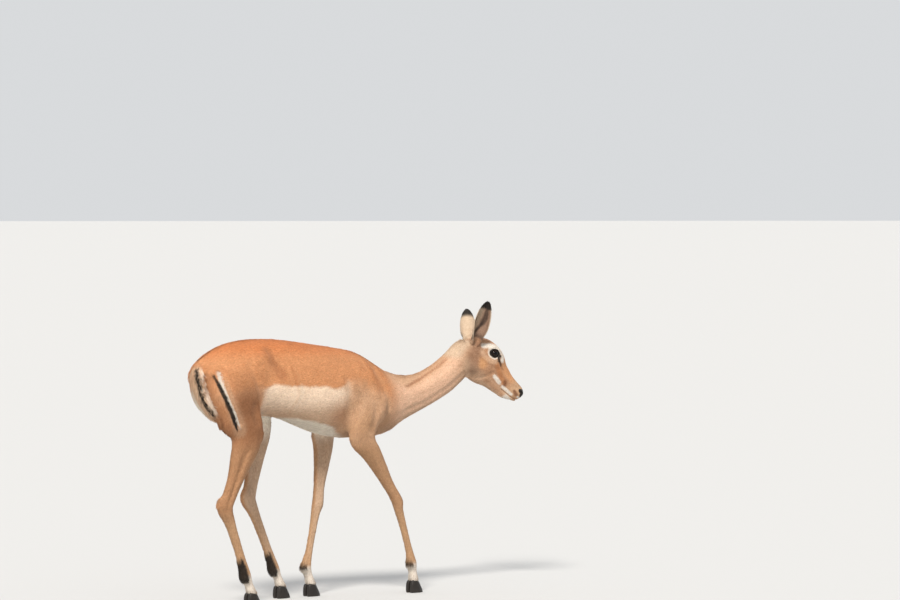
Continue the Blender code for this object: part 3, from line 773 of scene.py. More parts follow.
def makeEye(side):
    hand = "right" if side < 0 else "left"
    bpy.ops.mesh.primitive_uv_sphere_add(segments=eyeForm["segments"], ring_count=eyeForm["rings"],
                                         radius=pose["eyeRadius"] - eyeForm["inset"])
    helper = bpy.context.object
    mesh = helper.data.copy()
    bpy.data.objects.remove(helper)
    points = readMesh(mesh.vertices, "co")
    ball = unit(points)
    p, q, front = ball.T
    size = np.linalg.norm(points, axis=1) + eyeForm["bulge"] * ramp(0.62, 0.95, front)
    outward, long, high = eyeAxes(side)
    turned = column(p) * long + column(q) * high + column(front) * outward
    setOwnPoints(mesh, eyePlace(side) + turned * column(size))
    with editing(mesh) as shape:
        bmesh.ops.recalc_face_normals(shape, faces=shape.faces)
    angle = np.degrees(np.arccos(np.clip(front, -1, 1)))
    pupil = np.sqrt((p / 0.52) ** 2 + (q / 0.27) ** 2)
    streak = 0.75 + 0.5 * latticeNoise(np.c_[np.arctan2(q, p) * 9, angle * 0.06, angle * 0], 1.0, 5)
    colour = np.array(eyeForm["iris"]) * column(streak * (1.2 - 0.6 * ramp(20, 50, angle)))
    rings = {"rim": ramp(46, 54, angle), "white": ramp(62, 72, angle), "pupil": ramp(1.08, 0.94, pupil)}
    for name, share in rings.items():
        colour += (np.array(eyeForm[name]) - colour) * column(share)
    paintPoints(mesh, "eyeColour", colour)
    piece = newPiece("eye" + hand.capitalize(), mesh, eyeMaterial)
    mesh.shade_smooth()
    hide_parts("eye_" + hand)
    return piece


def makeEyeMaterial():
    material, shader, w, place = startMaterial("wetEye", 0.06)
    colour = w.add("Attribute", {}, attribute_name="eyeColour")
    darker = colour.tint("MULTIPLY", (0.55, 0.5, 0.48, 1))
    feed(shader, "Base Color", (place.noise(900, 3) * 0.5).blend(colour, darker))
    feed(shader, "Roughness", 0.04 + place.noise(140) * 0.05)
    shader.inputs["IOR"].default_value = 1.28
    return material


eyeMaterial = makeEyeMaterial()
eyes = [makeEye(-1), makeEye(1)]
print("eyes", len(eyes))

# Hooves: two pointed claws on each foot, ringed by growth
hoofForm = {
    "gap": 0.0013, "sides": 40, "rows": 22, "rings": 0.00012, "ringCount": 9,
    "heights": mm((0, 1.6, 10, 26, 38, 44.5)), "back": mm((-19, -20, -21, -20, -17.2, -12)),
    "front": mm((33.5, 35, 32.2, 24, 17.6, 11.8)), "width": mm((17.5, 18.6, 19.5, 19.6, 18.4, 14.5)),
    "horn": (0.010, 0.008, 0.007), "worn": (0.050, 0.040, 0.033), "streak": (0.040, 0.033, 0.028),
}


def makeHoofMaterial():
    material, shader, w, place = startMaterial("hoofHorn", 0.4, 0.3)
    height = w.add("SeparateXYZ", {0: place}, 2)
    flow = place.noise(60, 3)
    streaks = w.add("Mapping", {"Vector": place, "Scale": (900, 900, 40)}).noise(1.0, 3)
    growth = w.maths("SINE", height * 1500 + flow * 5)
    wear = w.add("ValToRGB", {0: height * 45 + flow * 0.4 - 0.12})
    stops = wear.socket.node.color_ramp.elements
    stops.new(0.35)
    for stop, tone in zip(stops, (1, 0.25, 0)):
        stop.color = (tone, tone, tone, 1)
    colour = (wear * 0.75).blend((*hoofForm["horn"], 1), (*hoofForm["worn"], 1))
    feed(shader, "Base Color", (streaks * 0.8).blend(colour, (*hoofForm["streak"], 1)))
    feed(shader, "Roughness", 0.34 + flow * 0.25 + growth * 0.04)
    relief = growth * 0.6 + streaks * 0.8
    feed(shader, "Normal", w.add("Bump", {"Strength": 0.35, "Distance": 0.0004, "Height": relief}))
    return material


def makeClaw(foot, inner):
    f = hoofForm
    x0, y0 = pose["legs"][foot][-1][:2]
    way = (-1 if "right" in foot else 1) * (-1 if inner else 1)
    heights, top = f["heights"], f["heights"][-1]
    rings = []
    for z in np.concatenate([[0, heights[1] / 2], np.linspace(heights[1], top, f["rows"])]):
        back, front, width = (smoothAlong(z, heights, f[key]) for key in ("back", "front", "width"))
        ridge = f["rings"] * math.sin(z / top * f["ringCount"] * 2 * math.pi) * ramp(0.002, 0.006, z)
        middle, half = (front + back) / 2 + 0.0006, (front - back) / 2 + ridge
        ring = []
        for i in range(f["sides"]):
            turn = 2 * math.pi * i / f["sides"]
            c, s = math.cos(turn), math.sin(turn)
            toe = ramp(0.25, 1, c)
            ahead = middle + half * math.copysign(abs(c) ** (0.92 if c > 0 else 0.72), c)
            side = (width / 2 + ridge) * math.copysign(abs(s) ** 0.74, s) * (1 - 0.42 * toe)
            side = side if s > 0 else side * (1 - 0.10 * (1 - toe))  # flatter towards the cleft
            ring.append((x0 + ahead, y0 + way * (f["gap"] + width / 2 + side - 0.0016 * toe), z))
        rings.append(np.array(ring) + frameShift * (1, 1, 0))
    mesh = loftMesh(rings, "claw")
    mesh.shade_smooth()
    (end, hand), which = foot.split("_"), "inner" if inner else "outer"
    piece = newPiece(f"{end}Claw{hand.capitalize()}{which.capitalize()}", mesh, hoofMaterial)
    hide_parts(f"hoof_{foot}_{which}")
    return piece


hoofMaterial = makeHoofMaterial()
claws = [makeClaw(foot, inner) for foot in pose["legs"] for inner in (True, False)]
print("claws", len(claws))

# Markings, painted shade and a little painted light: one function gives the coat's colour at any place, for
# the skin and for the tufts
coatTones = {
    # the hip tone is painted shade, for the crease below the hip bone
    "backTop": (0.62, 0.222, 0.078), "saddle": (0.63, 0.285, 0.125), "hip": (0.42, 0.165, 0.068),
    "flank": (0.66, 0.455, 0.305), "flankTop": (0.93, 0.735, 0.56), "belly": (0.87, 0.79, 0.67),
    # the thigh tone is painted shade, on the haunch and beside the tail
    "shoulder": (0.58, 0.355, 0.215), "thigh": (0.36, 0.16, 0.072), "neck": (0.77, 0.495, 0.335),
    "nape": (0.4, 0.185, 0.09), "throat": (0.66, 0.45, 0.3), "leg": (0.49, 0.275, 0.145),
    "legInner": (0.55, 0.385, 0.265), "gaskin": (0.46, 0.24, 0.12), "cannon": (0.52, 0.31, 0.17),
    "white": (0.76, 0.7, 0.62), "black": (0.008, 0.006, 0.005), "forehead": (0.76, 0.42, 0.245),
    "bridge": (0.64, 0.325, 0.155), "muzzle": (0.55, 0.34, 0.2), "cheek": (0.46, 0.25, 0.14),
    "orange": (0.6, 0.31, 0.145), "rust": (0.46, 0.195, 0.08), "brown": (0.2, 0.08, 0.036),
    "nose": (0.008, 0.006, 0.006), "earBack": (0.64, 0.49, 0.35), "earInside": (0.34, 0.215, 0.15),
    # the last tone on the next line is painted shadow of the ears on the cheeks
    "earPale": (0.5, 0.39, 0.28), "earShade": (0.035, 0.02, 0.016), "jowl": (0.25, 0.138, 0.084),
    # the hollow tone is painted shade, for the hollow of the haunch
    "hollow": (0.26, 0.108, 0.046), "earTip": (0.008, 0.006, 0.006), "earRim": (0.68, 0.57, 0.45),
    "jaw": (0.42, 0.205, 0.105),
}
rumpLines = {
    "black": mm(((-651, 76, 788), (-646, 86, 773), (-632, 111, 727), (-618, 120, 689), (-599, 123, 650),
                 (-574, 118, 594))),
    "edge": mm(((-631, 78, 800), (-629, 86, 788), (-630, 103, 761), (-624, 114, 734), (-611, 123, 700),
                (-597, 125, 667), (-577, 123, 628), (-565, 121, 596))),
    # the hip line carries painted shade along the crease below the hip bone
    "hip": mm(((-410, 67, 855), (-409, 91, 824), (-388, 95, 797), (-367, 102, 773))),
}
lineEase = {-1: 10, 1: 60}  # the leg set forward bends its line more
stripeLines = {}  # laid down on each side of her own rump
rumpSurface = surfaceOf(skin.data, skinPoints)
for name, line in rumpLines.items():
    stripeLines[name] = []
    for side, times in lineEase.items():
        laid = settle([(x, side * y, z) for x, y, z in line], rumpSurface)
        for turn in range(times):
            laid[1:-1] = (laid[:-2] + laid[1:-1] * 2 + laid[2:]) / 4
        stripeLines[name].append(np.array([rumpSurface.find_nearest(corner)[0] for corner in laid.tolist()]))


def stripePlace(points, name):  # distance to the nearer of the two lines, and the share along it
    (gap, place, foot), (otherGap, otherPlace, foot) = (nearLine(points, line) for line in stripeLines[name])
    share, otherShare = place / (len(stripeLines[name][0]) - 1), otherPlace / (len(stripeLines[name][1]) - 1)
    return np.minimum(gap, otherGap), np.where(otherGap < gap, otherShare, share)


class Coat:  # the colours of many points, tone laid over tone
    def __init__(self, count):
        self.colour = np.tile(coatTones["saddle"], (count, 1))

    def lay(self, name, share):
        share = column(np.clip(share, 0, 1))
        self.colour = self.colour * (1 - share) + np.array(coatTones[name]) * share


def coatColour(points, normals):
    coat = Coat(len(points))
    soft = latticeNoise(points, 28, 1) * 0.6 + latticeNoise(points, 75, 2) * 0.4 - 0.5
    trunkColour(points, coat.lay, soft)
    neckColour(points, normals, coat.lay, soft)
    legColour(points, coat.lay, soft)
    rumpColour(points, normals, coat.lay, soft)
    headColour(points, normals, coat.lay, soft)
    return coat.colour * column(0.93 + 0.14 * latticeNoise(points * (0.35, 1, 1), 190, 3) + 0.1 * soft)


def saddleLine(points, soft):  # height of the line between saddle and flank
    return np.interp(points[:, 0], [-0.66, -0.44, -0.4, -0.31, -0.21, -0.147, -0.09, -0.04, 0.03, 0.107, 0.2],
                     mm((700, 722, 740, 735, 729, 722, 735, 728, 704, 680, 640))) + soft * 0.012


def trunkColour(points, lay, soft):
    x, y, z = points.T
    lay("backTop", ramp(0.815, 0.872, z + soft * 0.01))
    # painted shade along the crease below the hip bone
    lay("hip", ramp(0.026, 0.004, stripePlace(points, "hip")[0] + soft * 0.006) * 0.75)
    rear, front = ramp(-0.42, -0.47, x), ramp(-0.13, -0.05, x)
    crisp = 0.008 + 0.03 * rear + 0.034 * front
    line = saddleLine(points, soft)
    under = ramp(line + crisp, line - crisp, z)
    lay("flank", under * (1 - front * 0.55))
    # the upper flank made paler: partly the coat's own light band below the saddle, partly painted sunlight
    # from above
    lay("flankTop", under * (1 - front) * (1 - rear) * ramp(0.625, 0.695, z) * 0.9)
    # painted shade low on the flank behind the shoulder, where the belly curves under
    lay("jaw", patch(points, -0.112, 0.627, 0.055, 0.052) * 0.8)
    lay("jaw", patch(points, 0.095, 0.6, 0.05, 0.045) * 0.65)
    thighs = [pose["legs"][name][:2] for name in ("hind_right", "hind_left")]
    hindGap = np.where(y < 0, *[nearLine(points, line)[0] for line in thighs])
    thigh = np.maximum(rear, ramp(0.088, 0.066, hindGap))
    lay("saddle", under * thigh)
    # painted shadow on the haunch under the hip's bulge, darkest in its hollow and on the lower thigh
    lay("thigh", under * thigh * (1.3 * patch(points, -0.54, 0.692, 0.062, 0.082) + ramp(0.66, 0.6, z) * 0.85))
    lay("hollow", patch(points, -0.54, 0.685, 0.066, 0.085) * 0.72)
    lay("shoulder", under * front * ramp(0.16, 0.09, x) * 0.75)
    # painted shade on the upper arm below the point of the shoulder
    lay("leg", patch(points, -0.03, 0.59, 0.055, 0.045) * 0.75)
    line = np.interp(x, [-0.52, -0.44, -0.4, -0.311, -0.267, -0.205, -0.128, -0.08, -0.02, 0.05, 0.12],
                     mm((585, 600, 618, 623, 619, 611, 588, 562, 540, 532, 520))) + soft * 0.008
    line = line + 0.018 * band(y, 0, 0.03, 0.06, 0.09)  # the belly's edge, higher by the hind leg set forward
    number, legAt, legGap, away = legPlace(points)
    notLeg = np.clip(ramp(0.055, 0.072, legGap) + ramp(-0.006, -0.02, outerOf(number, away)), 0, 1)
    below = ramp(line + 0.005, line - 0.005, z) * ramp(0.48, 0.53, z)
    lay("belly", below * band(x, -0.47, -0.42, 0.02, 0.1) * notLeg)
    lay("belly", ramp(-0.38, -0.44, x) * ramp(0.72, 0.6, z) * ramp(0.062, 0.04, np.abs(y)) * 0.9)


def neckColour(points, normals, lay, soft):
    x, y, z = points.T
    up = normals[:, 2]
    neck = ramp(0.1, 0.2, x)
    lay("neck", neck)
    nape = np.interp(x, [0.1, 0.217, 0.27, 0.32, 0.363, 0.397, 0.45], mm((735, 717, 737, 763, 787, 814, 852)))
    line = saddleLine(points, soft)
    lay("saddle", ramp(0.12, 0.02, x) * ramp(line, line + 0.06, z) * neck)
    lay("shoulder", neck * ramp(nape - 0.012, nape + 0.02, z) * 0.8)
    # a dark band along the groove between the neck's top and side: partly the hair's own colour, partly
    # painted shade in the groove
    lay("nape", neck * np.exp(-((z - nape) / 0.0075) ** 2) * band(x, 0.18, 0.24, 0.38, 0.42) * 0.85)
    middle = np.abs(y - nearLine(points, pose["spine"])[2][:, 1])
    lay("nape", neck * ramp(0.02, 0.006, middle) * (up > 0.2) * 0.45)
    lay("shoulder", neck * ramp(0.3, 0.8, up) * 0.55)
    mottle = ramp(0.5, 0.68, latticeNoise(points * (1, 1, 1.5), 42, 5))  # on the shoulder
    lay("leg", mottle * band(x, -0.15, -0.09, 0.09, 0.15) * band(z, 0.56, 0.6, 0.72, 0.77) * 0.38)
    lay("shoulder", neck * ramp(0.38, 0.45, x) * 0.45)
    lay("earBack", ramp(0.062, 0.036, nearLine(points, mm(((436, -30, 846), (468, -34, 866))))[0]) * 0.8)
    lay("throat", neck * ramp(-0.15, -0.75, up + soft * 0.3) * 0.8)
    lay("throat", ramp(0.07, 0.13, x) * ramp(0.62, 0.56, z) * 0.5)
    lay("nape", ramp(0.0055, 0.002, np.abs(y)) * ramp(-0.3, -0.45, x) * (z > 0.8) * 0.8)  # line to the tail
    lay("black", ramp(0.005, 0.002, np.abs(y)) * ramp(-0.56, -0.64, x) * (z > 0.8) * 0.85)


def legColour(points, lay, soft):  # darker in front and outside, pale inside, white over the hooves
    x, y, z = points.T
    number, legAt, legGap, away = legPlace(points)
    fore, outer = away[:, 0], outerOf(number, away)
    leg = ramp(0.6, 0.5, z) * ramp(0.115, 0.085, legGap)
    hind = leg * (number >= 2)
    front = leg * (number < 2)
    lay("leg", front * ramp(0.58, 0.5, z))
    lay("gaskin", hind * ramp(0.62, 0.52, z))
    lay("cannon", leg * ramp(0.34, 0.27, z))
    inner = ramp(0.002, -0.01, outer - 0.2 * fore)
    lay("legInner", leg * inner * ramp(0.1, 0.18, z) * (0.92 - 0.35 * ramp(0.33, 0.28, z)))
    lay("leg", leg * ramp(0.004, 0.014, fore - np.abs(outer) * 0.5) * (1 - inner) * 0.6)
    lay("brown", leg * np.exp(-((legAt - 2) / 0.1) ** 2) * ramp(0.006, 0.014, fore) * 0.45)
    pastern = leg * ramp(0.112, 0.096, z + soft * 0.008) * ramp(0.042, 0.05, z)
    lay("white", pastern * (0.9 - 0.45 * ramp(0.004, 0.016, fore)))
    lay("brown", leg * ramp(0.052, 0.045, z) * 0.55)
    lay("black", front * np.exp(-((z - 0.108) / 0.011) ** 2) * ramp(-0.004, -0.012, fore) * 0.9)
    lay("black", hind * band(z, 0.082, 0.094, 0.152, 0.17) * ramp(0.004, -0.004, fore + soft * 0.006) * 0.98)


def rumpColour(points, normals, lay, soft):  # white between two black stripes with white edges
    x, y, z = points.T
    beside = np.abs(y)
    blackGap, blackAt = stripePlace(points, "black")
    edgeGap, edgeAt = stripePlace(points, "edge")
    lay("belly", ramp(-0.585, -0.625, x) * ramp(0.05, 0.036, beside) * band(z, 0.54, 0.6, 0.72, 0.775) * 0.85)
    lay("shoulder", ramp(0.034, 0.014, edgeGap + soft * 0.01) * ramp(0.1, 0.35, edgeAt) * 0.55)
    width = 0.0042 + 0.005 * ramp(0.45, 0.15, edgeAt) - soft * 0.003
    lay("white", ramp(width + 0.0016, width - 0.0016, edgeGap) * band(edgeAt, 0, 0.1, 0.85, 1) * 0.92)
    width = 0.007 - 0.0036 * (ramp(0.3, 0, blackAt) + ramp(0.75, 1, blackAt)) - soft * 0.003
    lay("black", ramp(width + 0.0016, width - 0.0016, blackGap) * band(blackAt, 0, 0.04, 0.95, 0.995))
    tailGap, tailAt, foot = nearLine(points, pose["tail"])
    tail = ramp(0.03, 0.022, tailGap) * ramp(-0.64, -0.655, x) * ramp(0.835, 0.825, z)
    aside = y - foot[:, 1]
    lay("thigh", (1 - tail) * ramp(0.08, 0.05, tailGap) * ramp(0.8, 0.77, z) * ramp(0.02, 0.036, beside)
        * ramp(-0.59, -0.63, x) * 0.8)  # shade beside the tail
    lay("saddle", tail * ramp(1.6, 1, tailAt))
    lay("flank", tail * ramp(1, 2, tailAt) * 0.9)
    lay("white", tail * ramp(0.015, 0.021, np.abs(aside)) * ramp(1.4, 2.4, tailAt) * 0.7)
    lay("white", tail * ramp(-0.2, 0.3, normals[:, 0]) * ramp(1, 1.8, tailAt))
    lay("black", tail * ramp(0.0054, 0.0032, np.abs(aside + 0.01)) * ramp(0.1, -0.3, normals[:, 0])
        * ramp(1.3, 2, tailAt))


noseLines = mm((  # bare leather between and around the nostrils, in the head's axes, each with its half width
    (((-4, 0, -4), (-3, 0, -24)), 10.5), (((-1, 0, -24), (-6, 0, -40)), 4.6),
    (((-8, 0, -2), (-18, 12, -6)), 6.2), (((-6, 0, -2), (-13, 0, 2)), 6.4),
    (((-4, 10, -26), (-6, 14.5, -18), (-14, 19.5, -12), (-24, 20.8, -13.5)), 7.8),
    (((-10, 14, -22), (-14, 18, -20)), 7), (((-6, 6, -12), (-9, 12, -12)), 8.2),
))
# Marks of the face: tone, strength, softness of the edge, then half width and corners in millimetres
# brown along the side of the lower jaw: partly its own colour, partly painted shade under the jaw
jawSpots = (("jaw", 0.75, 0.5, 13, (-140, 34, -86), (-95, 28, -79), (-64, 24, -77)),)
faceSpots = (
    # painted shadow of the ear: down the cheek below it, and under its base
    ("jowl", 0.66, 0.7, 20, (-272, 44, -26), (-236, 49, -68), (-196, 43, -108)),
    ("jowl", 0.5, 0.7, 14, (-264, 42, -12), (-250, 46, -24)),
    ("orange", 0.9, 0.5, 14.5, (-208, 50, -46), (-198, 49, -58)),
    ("rust", 0.85, 0.5, 9.5, (-160, 49, -21), (-126, 39, -32), (-90, 30, -40)),
    ("white", 0.95, 0.35, 7.5, (-135, 38, -52), (-120, 34, -52), (-105, 31, -53)),
    ("white", 0.95, 0.35, 6.2, (-85, 27, -53), (-62, 25.5, -50.5), (-40, 23.5, -48)),
    ("brown", 0.9, 0.6, 6.8, (-91, 30, -36), (-84, 28.5, -43.5)),
    ("brown", 0.85, 0.6, 6, (-41, 24.5, -32), (-26, 21.5, -34.5)),
    ("white", 0.85, 0.5, 4.2, (-7, 8, -31), (-16, 16, -35.5)),  # upper lip
    ("jaw", 0.5, 0.5, 5, (-10, 10, -43), (-26, 20, -45.5)),
    # painted shade in the slit of the mouth
    ("brown", 0.95, 0.5, 3.6, (-14, 12.5, -49), (-30, 20, -54.8), (-52, 24, -59.2)),
    ("white", 0.95, 0.4, 10, (-246, 46, -8), (-234, 43, 6), (-210, 34, 22), (-184, 27, 29), (-166, 32, 22),
     (-158, 40, 8)),
    ("throat", 0.45, 0.5, 8, (-236, 52, -26), (-216, 52, -34), (-192, 52, -31), (-172, 52, -18)),
)
tearSpots = (
    ("black", 1, 0.4, 5.6, (-178, 50, 4), (-166, 50, -4)),
    ("black", 0.95, 0.5, 4, (-168, 50, -2), (-148, 44, -10)),
    ("brown", 0.5, 0.7, 4.5, (-152, 46, -8), (-128, 40, -14)),
)
earMarks = (  # strength, half width and corners as (share of the length, place across towards the front edge)
    (0.8, 0.24, (0.44, 0.12), (0.56, 0.3), (0.72, 0.3)),
    (0.9, 0.12, (0.13, -0.42), (0.28, -0.12), (0.42, 0.12)), (0.85, 0.13, (0.38, -0.78), (0.5, -0.8)),
)


def nearNose(points, outer=1.15, soft=0.0):  # 1 on the bare leather of the nose
    mirrored = headMirror(points)
    return np.max([ramp(width * outer, width * 0.85, nearLine(mirrored, line)[0] + soft * 0.002)
                   for line, width in noseLines], axis=0)


def headColour(points, normals, layAnywhere, soft):
    ahead, aside, above = headPlace(points)
    mirrored = headMirror(points)
    head = headShare(points, -0.3, -0.255, 0.43, 0.46)

    def lay(name, share):
        layAnywhere(name, np.clip(share, 0, 1) * head)

    def laySpots(spots):
        for name, strength, edge, width, *line in spots:
            gap = nearLine(mirrored, mm(line))[0] + soft * 0.002
            lay(name, ramp(width / 1000 * (1 + edge), width / 1000 * (1 - edge), gap) * strength)

    lay("cheek", np.ones(len(points)))
    lay("forehead", ramp(0.018, 0.03, above) + ramp(0.03, 0.018, np.abs(aside)) * (above > -0.02))
    lay("bridge", ramp(-0.17, -0.12, ahead) * ramp(-0.03, -0.014, above))
    lay("muzzle", ramp(-0.085, -0.05, ahead))
    lay("throat", ramp(-0.062, -0.095, above - 0.0252 * ramp(-0.2, -0.04, ahead)) * 0.75)
    laySpots(jawSpots)
    lay("white", ramp(-0.062, -0.048, ahead) * ramp(-0.055, -0.061, above) * 0.95)  # chin
    laySpots(faceSpots)
    for side in (-1, 1):
        shape, p, q, out = eyeMeasure(points, side)
        wide, angle = np.sqrt(p ** 2 + q ** 2), np.degrees(np.arctan2(q, p))
        near = ((wide < 0.04) & (shape < 8)).astype(float)
        upper = band(angle, -12, 8, 160, 178)
        lay("white", near * upper * ramp(0.033, 0.0285, wide + 0.004 * soft) * ramp(-14, 22, angle) * 0.95)
        lay("throat", near * (1 - upper) * ramp(0.031, 0.025, wide) * 0.6)
        lay("white", near * (1 - upper) * ramp(1.72, 1.55, shape) * 0.8)
        lay("black", near * ramp(1.26, 1.17, shape + soft * 0.08))
        corner = np.sqrt(((p - 0.0205) / 0.008) ** 2 + ((q + 0.0045) / 0.0055) ** 2)
        lay("black", near * ramp(1.25, 0.8, corner))
    laySpots(tearSpots)
    lay("nose", nearNose(points, soft=soft))
    for side in (-1, 1):
        earColour(points, normals, layAnywhere, soft, side)


def earColour(points, normals, lay, soft, side):
    share, spin, inside, isEar = earPlace(points, side)
    root, tip, axis, opening = earAxes(side)
    away = points - root
    near = np.linalg.norm(away - column(np.clip(away @ axis, 0, 0.2)) * axis, axis=1) < 0.036
    inside = inside * ((np.abs(spin) > 0.5) | (normals @ opening > -0.1))
    ear = ramp(0.04, 0.12, share) * near
    behind = ramp(-0.04, 0.05, share) * ramp(0.012, -0.006, away @ headAhead)
    back = np.maximum(ramp(0.1, 0.17, share), behind) * near * (1 - inside)
    fore = -side * spin  # positive towards the front edge
    cup = ear * inside
    lay("earBack", back)
    lay("earInside", cup)
    lay("earPale", cup * ramp(0.05, -0.45, fore) * 0.85)
    lay("earRim", cup * ramp(0.8, 0.93, np.abs(spin)) * 0.9)
    for strength, width, *line in earMarks:
        gap = nearLine(np.c_[share * 3, fore, fore * 0], [(a * 3, b, 0) for a, b in line])[0]
        lay("earShade", cup * ramp(width * 1.5, width * 0.6, gap + soft * 0.1) * strength)
    lay("earShade", cup * ramp(0.22, 0.08, share) * 0.7)
    lay("earTip", ear * ramp(0.76, 0.83, share + soft * 0.06))
    lay("earTip", back * ramp(0.68, 0.78, share + soft * 0.06) * 0.8)


def bareShare(points):  # 1 on the leather of the nose and the rims of the eyes
    rims = [ramp(1.22, 1.12, eyeMeasure(points, side)[0]) for side in (-1, 1)]
    return np.max([nearNose(points)] + rims, axis=0)


def makeCoatMaterial(name, forTufts):
    material, shader, w, place = startMaterial(name, 0.6, 0.18)
    colour = w.add("Attribute", {}, attribute_name="coatColour")
    ahead, height = (w.add("SeparateXYZ", {0: place}, axis) for axis in (0, 2))
    lengthwise, downward = (w.add("Mapping", {"Vector": place, "Scale": scale})
                            for scale in ((95, 620, 620), (620, 620, 95)))
    facewise = w.add("Mapping", {"Vector": place, "Rotation": (0, pose["headPitch"], pose["headYaw"]),
                                 "Scale": (1 / 160, 1 / 900, 1 / 900)}, vector_type="TEXTURE")
    body = height.between(0.60, 0.50).choose(lengthwise, downward)
    hairs = ahead.between(0.44, 0.47).choose(body, facewise).noise(1.0, 3, 0.6)
    flow, clumps = place.noise(26, 3), place.noise(150, 2)
    dark = colour.tint("MULTIPLY", (0.80, 0.76, 0.72, 1) if forTufts else (0.60, 0.54, 0.50, 1))
    light = colour.tint("SCREEN", (0.030, 0.024, 0.018, 1))
    shaded = (hairs * 0.7 + clumps * 0.3).between(0.36, 0.62).blend(dark, light)
    feed(shader, "Base Color", (flow * 0.30).blend(shaded, colour))
    rough = 0.52 + hairs * 0.22 + flow * 0.08
    if not forTufts:  # the leather is smoother, and pebbled
        bare = w.add("Attribute", {}, 2, attribute_name="bareSkin")
        pebbles = w.add("TexVoronoi", {"Vector": place, "Scale": 520})
        rough = rough * (1 - bare) + bare * (0.42 + flow * 0.12)
        relief = (hairs + clumps * 0.5) * (1 - bare) + pebbles * bare * 0.22
        feed(shader, "Normal", w.add("Bump", {"Strength": 0.55, "Distance": 0.0011, "Height": relief}))
    feed(shader, "Roughness", rough)
    shader.inputs["Sheen Weight"].default_value = 0.03
    shader.inputs["Sheen Roughness"].default_value = 0.4
    return material


skinNormals = normalsOf(skin.data)
paintPoints(skin.data, "coatColour", coatColour(skinPoints, skinNormals))
paintPoints(skin.data, "bareSkin", np.tile(column(bareShare(skinPoints)), (1, 3)))
skin.data.materials.clear()
skin.data.materials.append(makeCoatMaterial("shortCoat", False))
tuftMaterial = makeCoatMaterial("coatHair", True)
print("markings laid")


# Coat: short flat tufts all over, longer where the real coat breaks the outline
tuftForm = {
    "count": 145000, "seed": 11, "thickness": 0.22, "sunk": 0.0006, "patch": 0.003,
    "lengths": {"trunk": 0.0125, "neck": 0.012, "head": 0.0062, "leg": 0.0088, "tail": 0.03, "ear": 0.0056},
    "widths": {"trunk": 0.002, "neck": 0.0018, "head": 0.0009, "leg": 0.0013, "tail": 0.0018, "ear": 0.0007},
    "lift": 6, "turn": 10, "lashes": 30, "lashLength": 0.0072, "lashWidth": 0.0005, "lashLift": 4.0,
    "neckFrom": 0.10, "rumpFrom": -0.42,  # where the pieces of the coat meet
}
lipLine = mm(((-12, 12.5, -43), (-28, 20, -49.5), (-50, 24, -55), (-76, 26, -59.5)))


def turnShare(across, ahead):  # an angle as a share of the whole turn
    return np.arctan2(across, ahead) / (2 * math.pi) + 0.5


def unwrapPlace(points):  # each part of the skin rolled out flat into its own rectangle
    spineGap, spineAt, foot = nearLine(points, pose["spine"])
    away = points - foot
    place = np.c_[np.clip(spineAt / 14, 0, 1), turnShare(away[:, 1], away[:, 2])] * (0.99, 0.43) + 0.005
    head, tail, leg = bodyParts(points)
    ahead, aside, above = headPlace(points)
    number, legAt, legGap, away = legPlace(points)
    tailGap, tailAt, foot = nearLine(points, pose["tail"])
    x, y, z = (points - foot).T
    rolled = [
        (head, np.c_[np.clip(-ahead / 0.31, 0, 1), turnShare(aside, above + 0.045)] * (0.34, 0.23)
         + (0.005, 0.46)),
        (leg, np.c_[turnShare(away[:, 1], away[:, 0]) * 0.135 + 0.375 + 0.155 * number,
                    0.46 + 0.52 * np.clip(legAt / 4.2, 0, 1)]),
        (tail, np.c_[0.005 + 0.13 * turnShare(y, -x), 0.72 + 0.26 * tailAt / 7]),
    ]
    for side, start in ((-1, 0.15), (1, 0.265)):
        share, spin, inside, isEar = earPlace(points, side)
        rolled.append((isEar, np.c_[start + 0.05 * inside + 0.022 * (1 + np.clip(spin, -1.1, 1.1)),
                                    0.72 + 0.26 * np.clip(share, 0, 1)]))
    for share, other in rolled:
        place = np.where(column(share > 0.5), other, place)
    return place


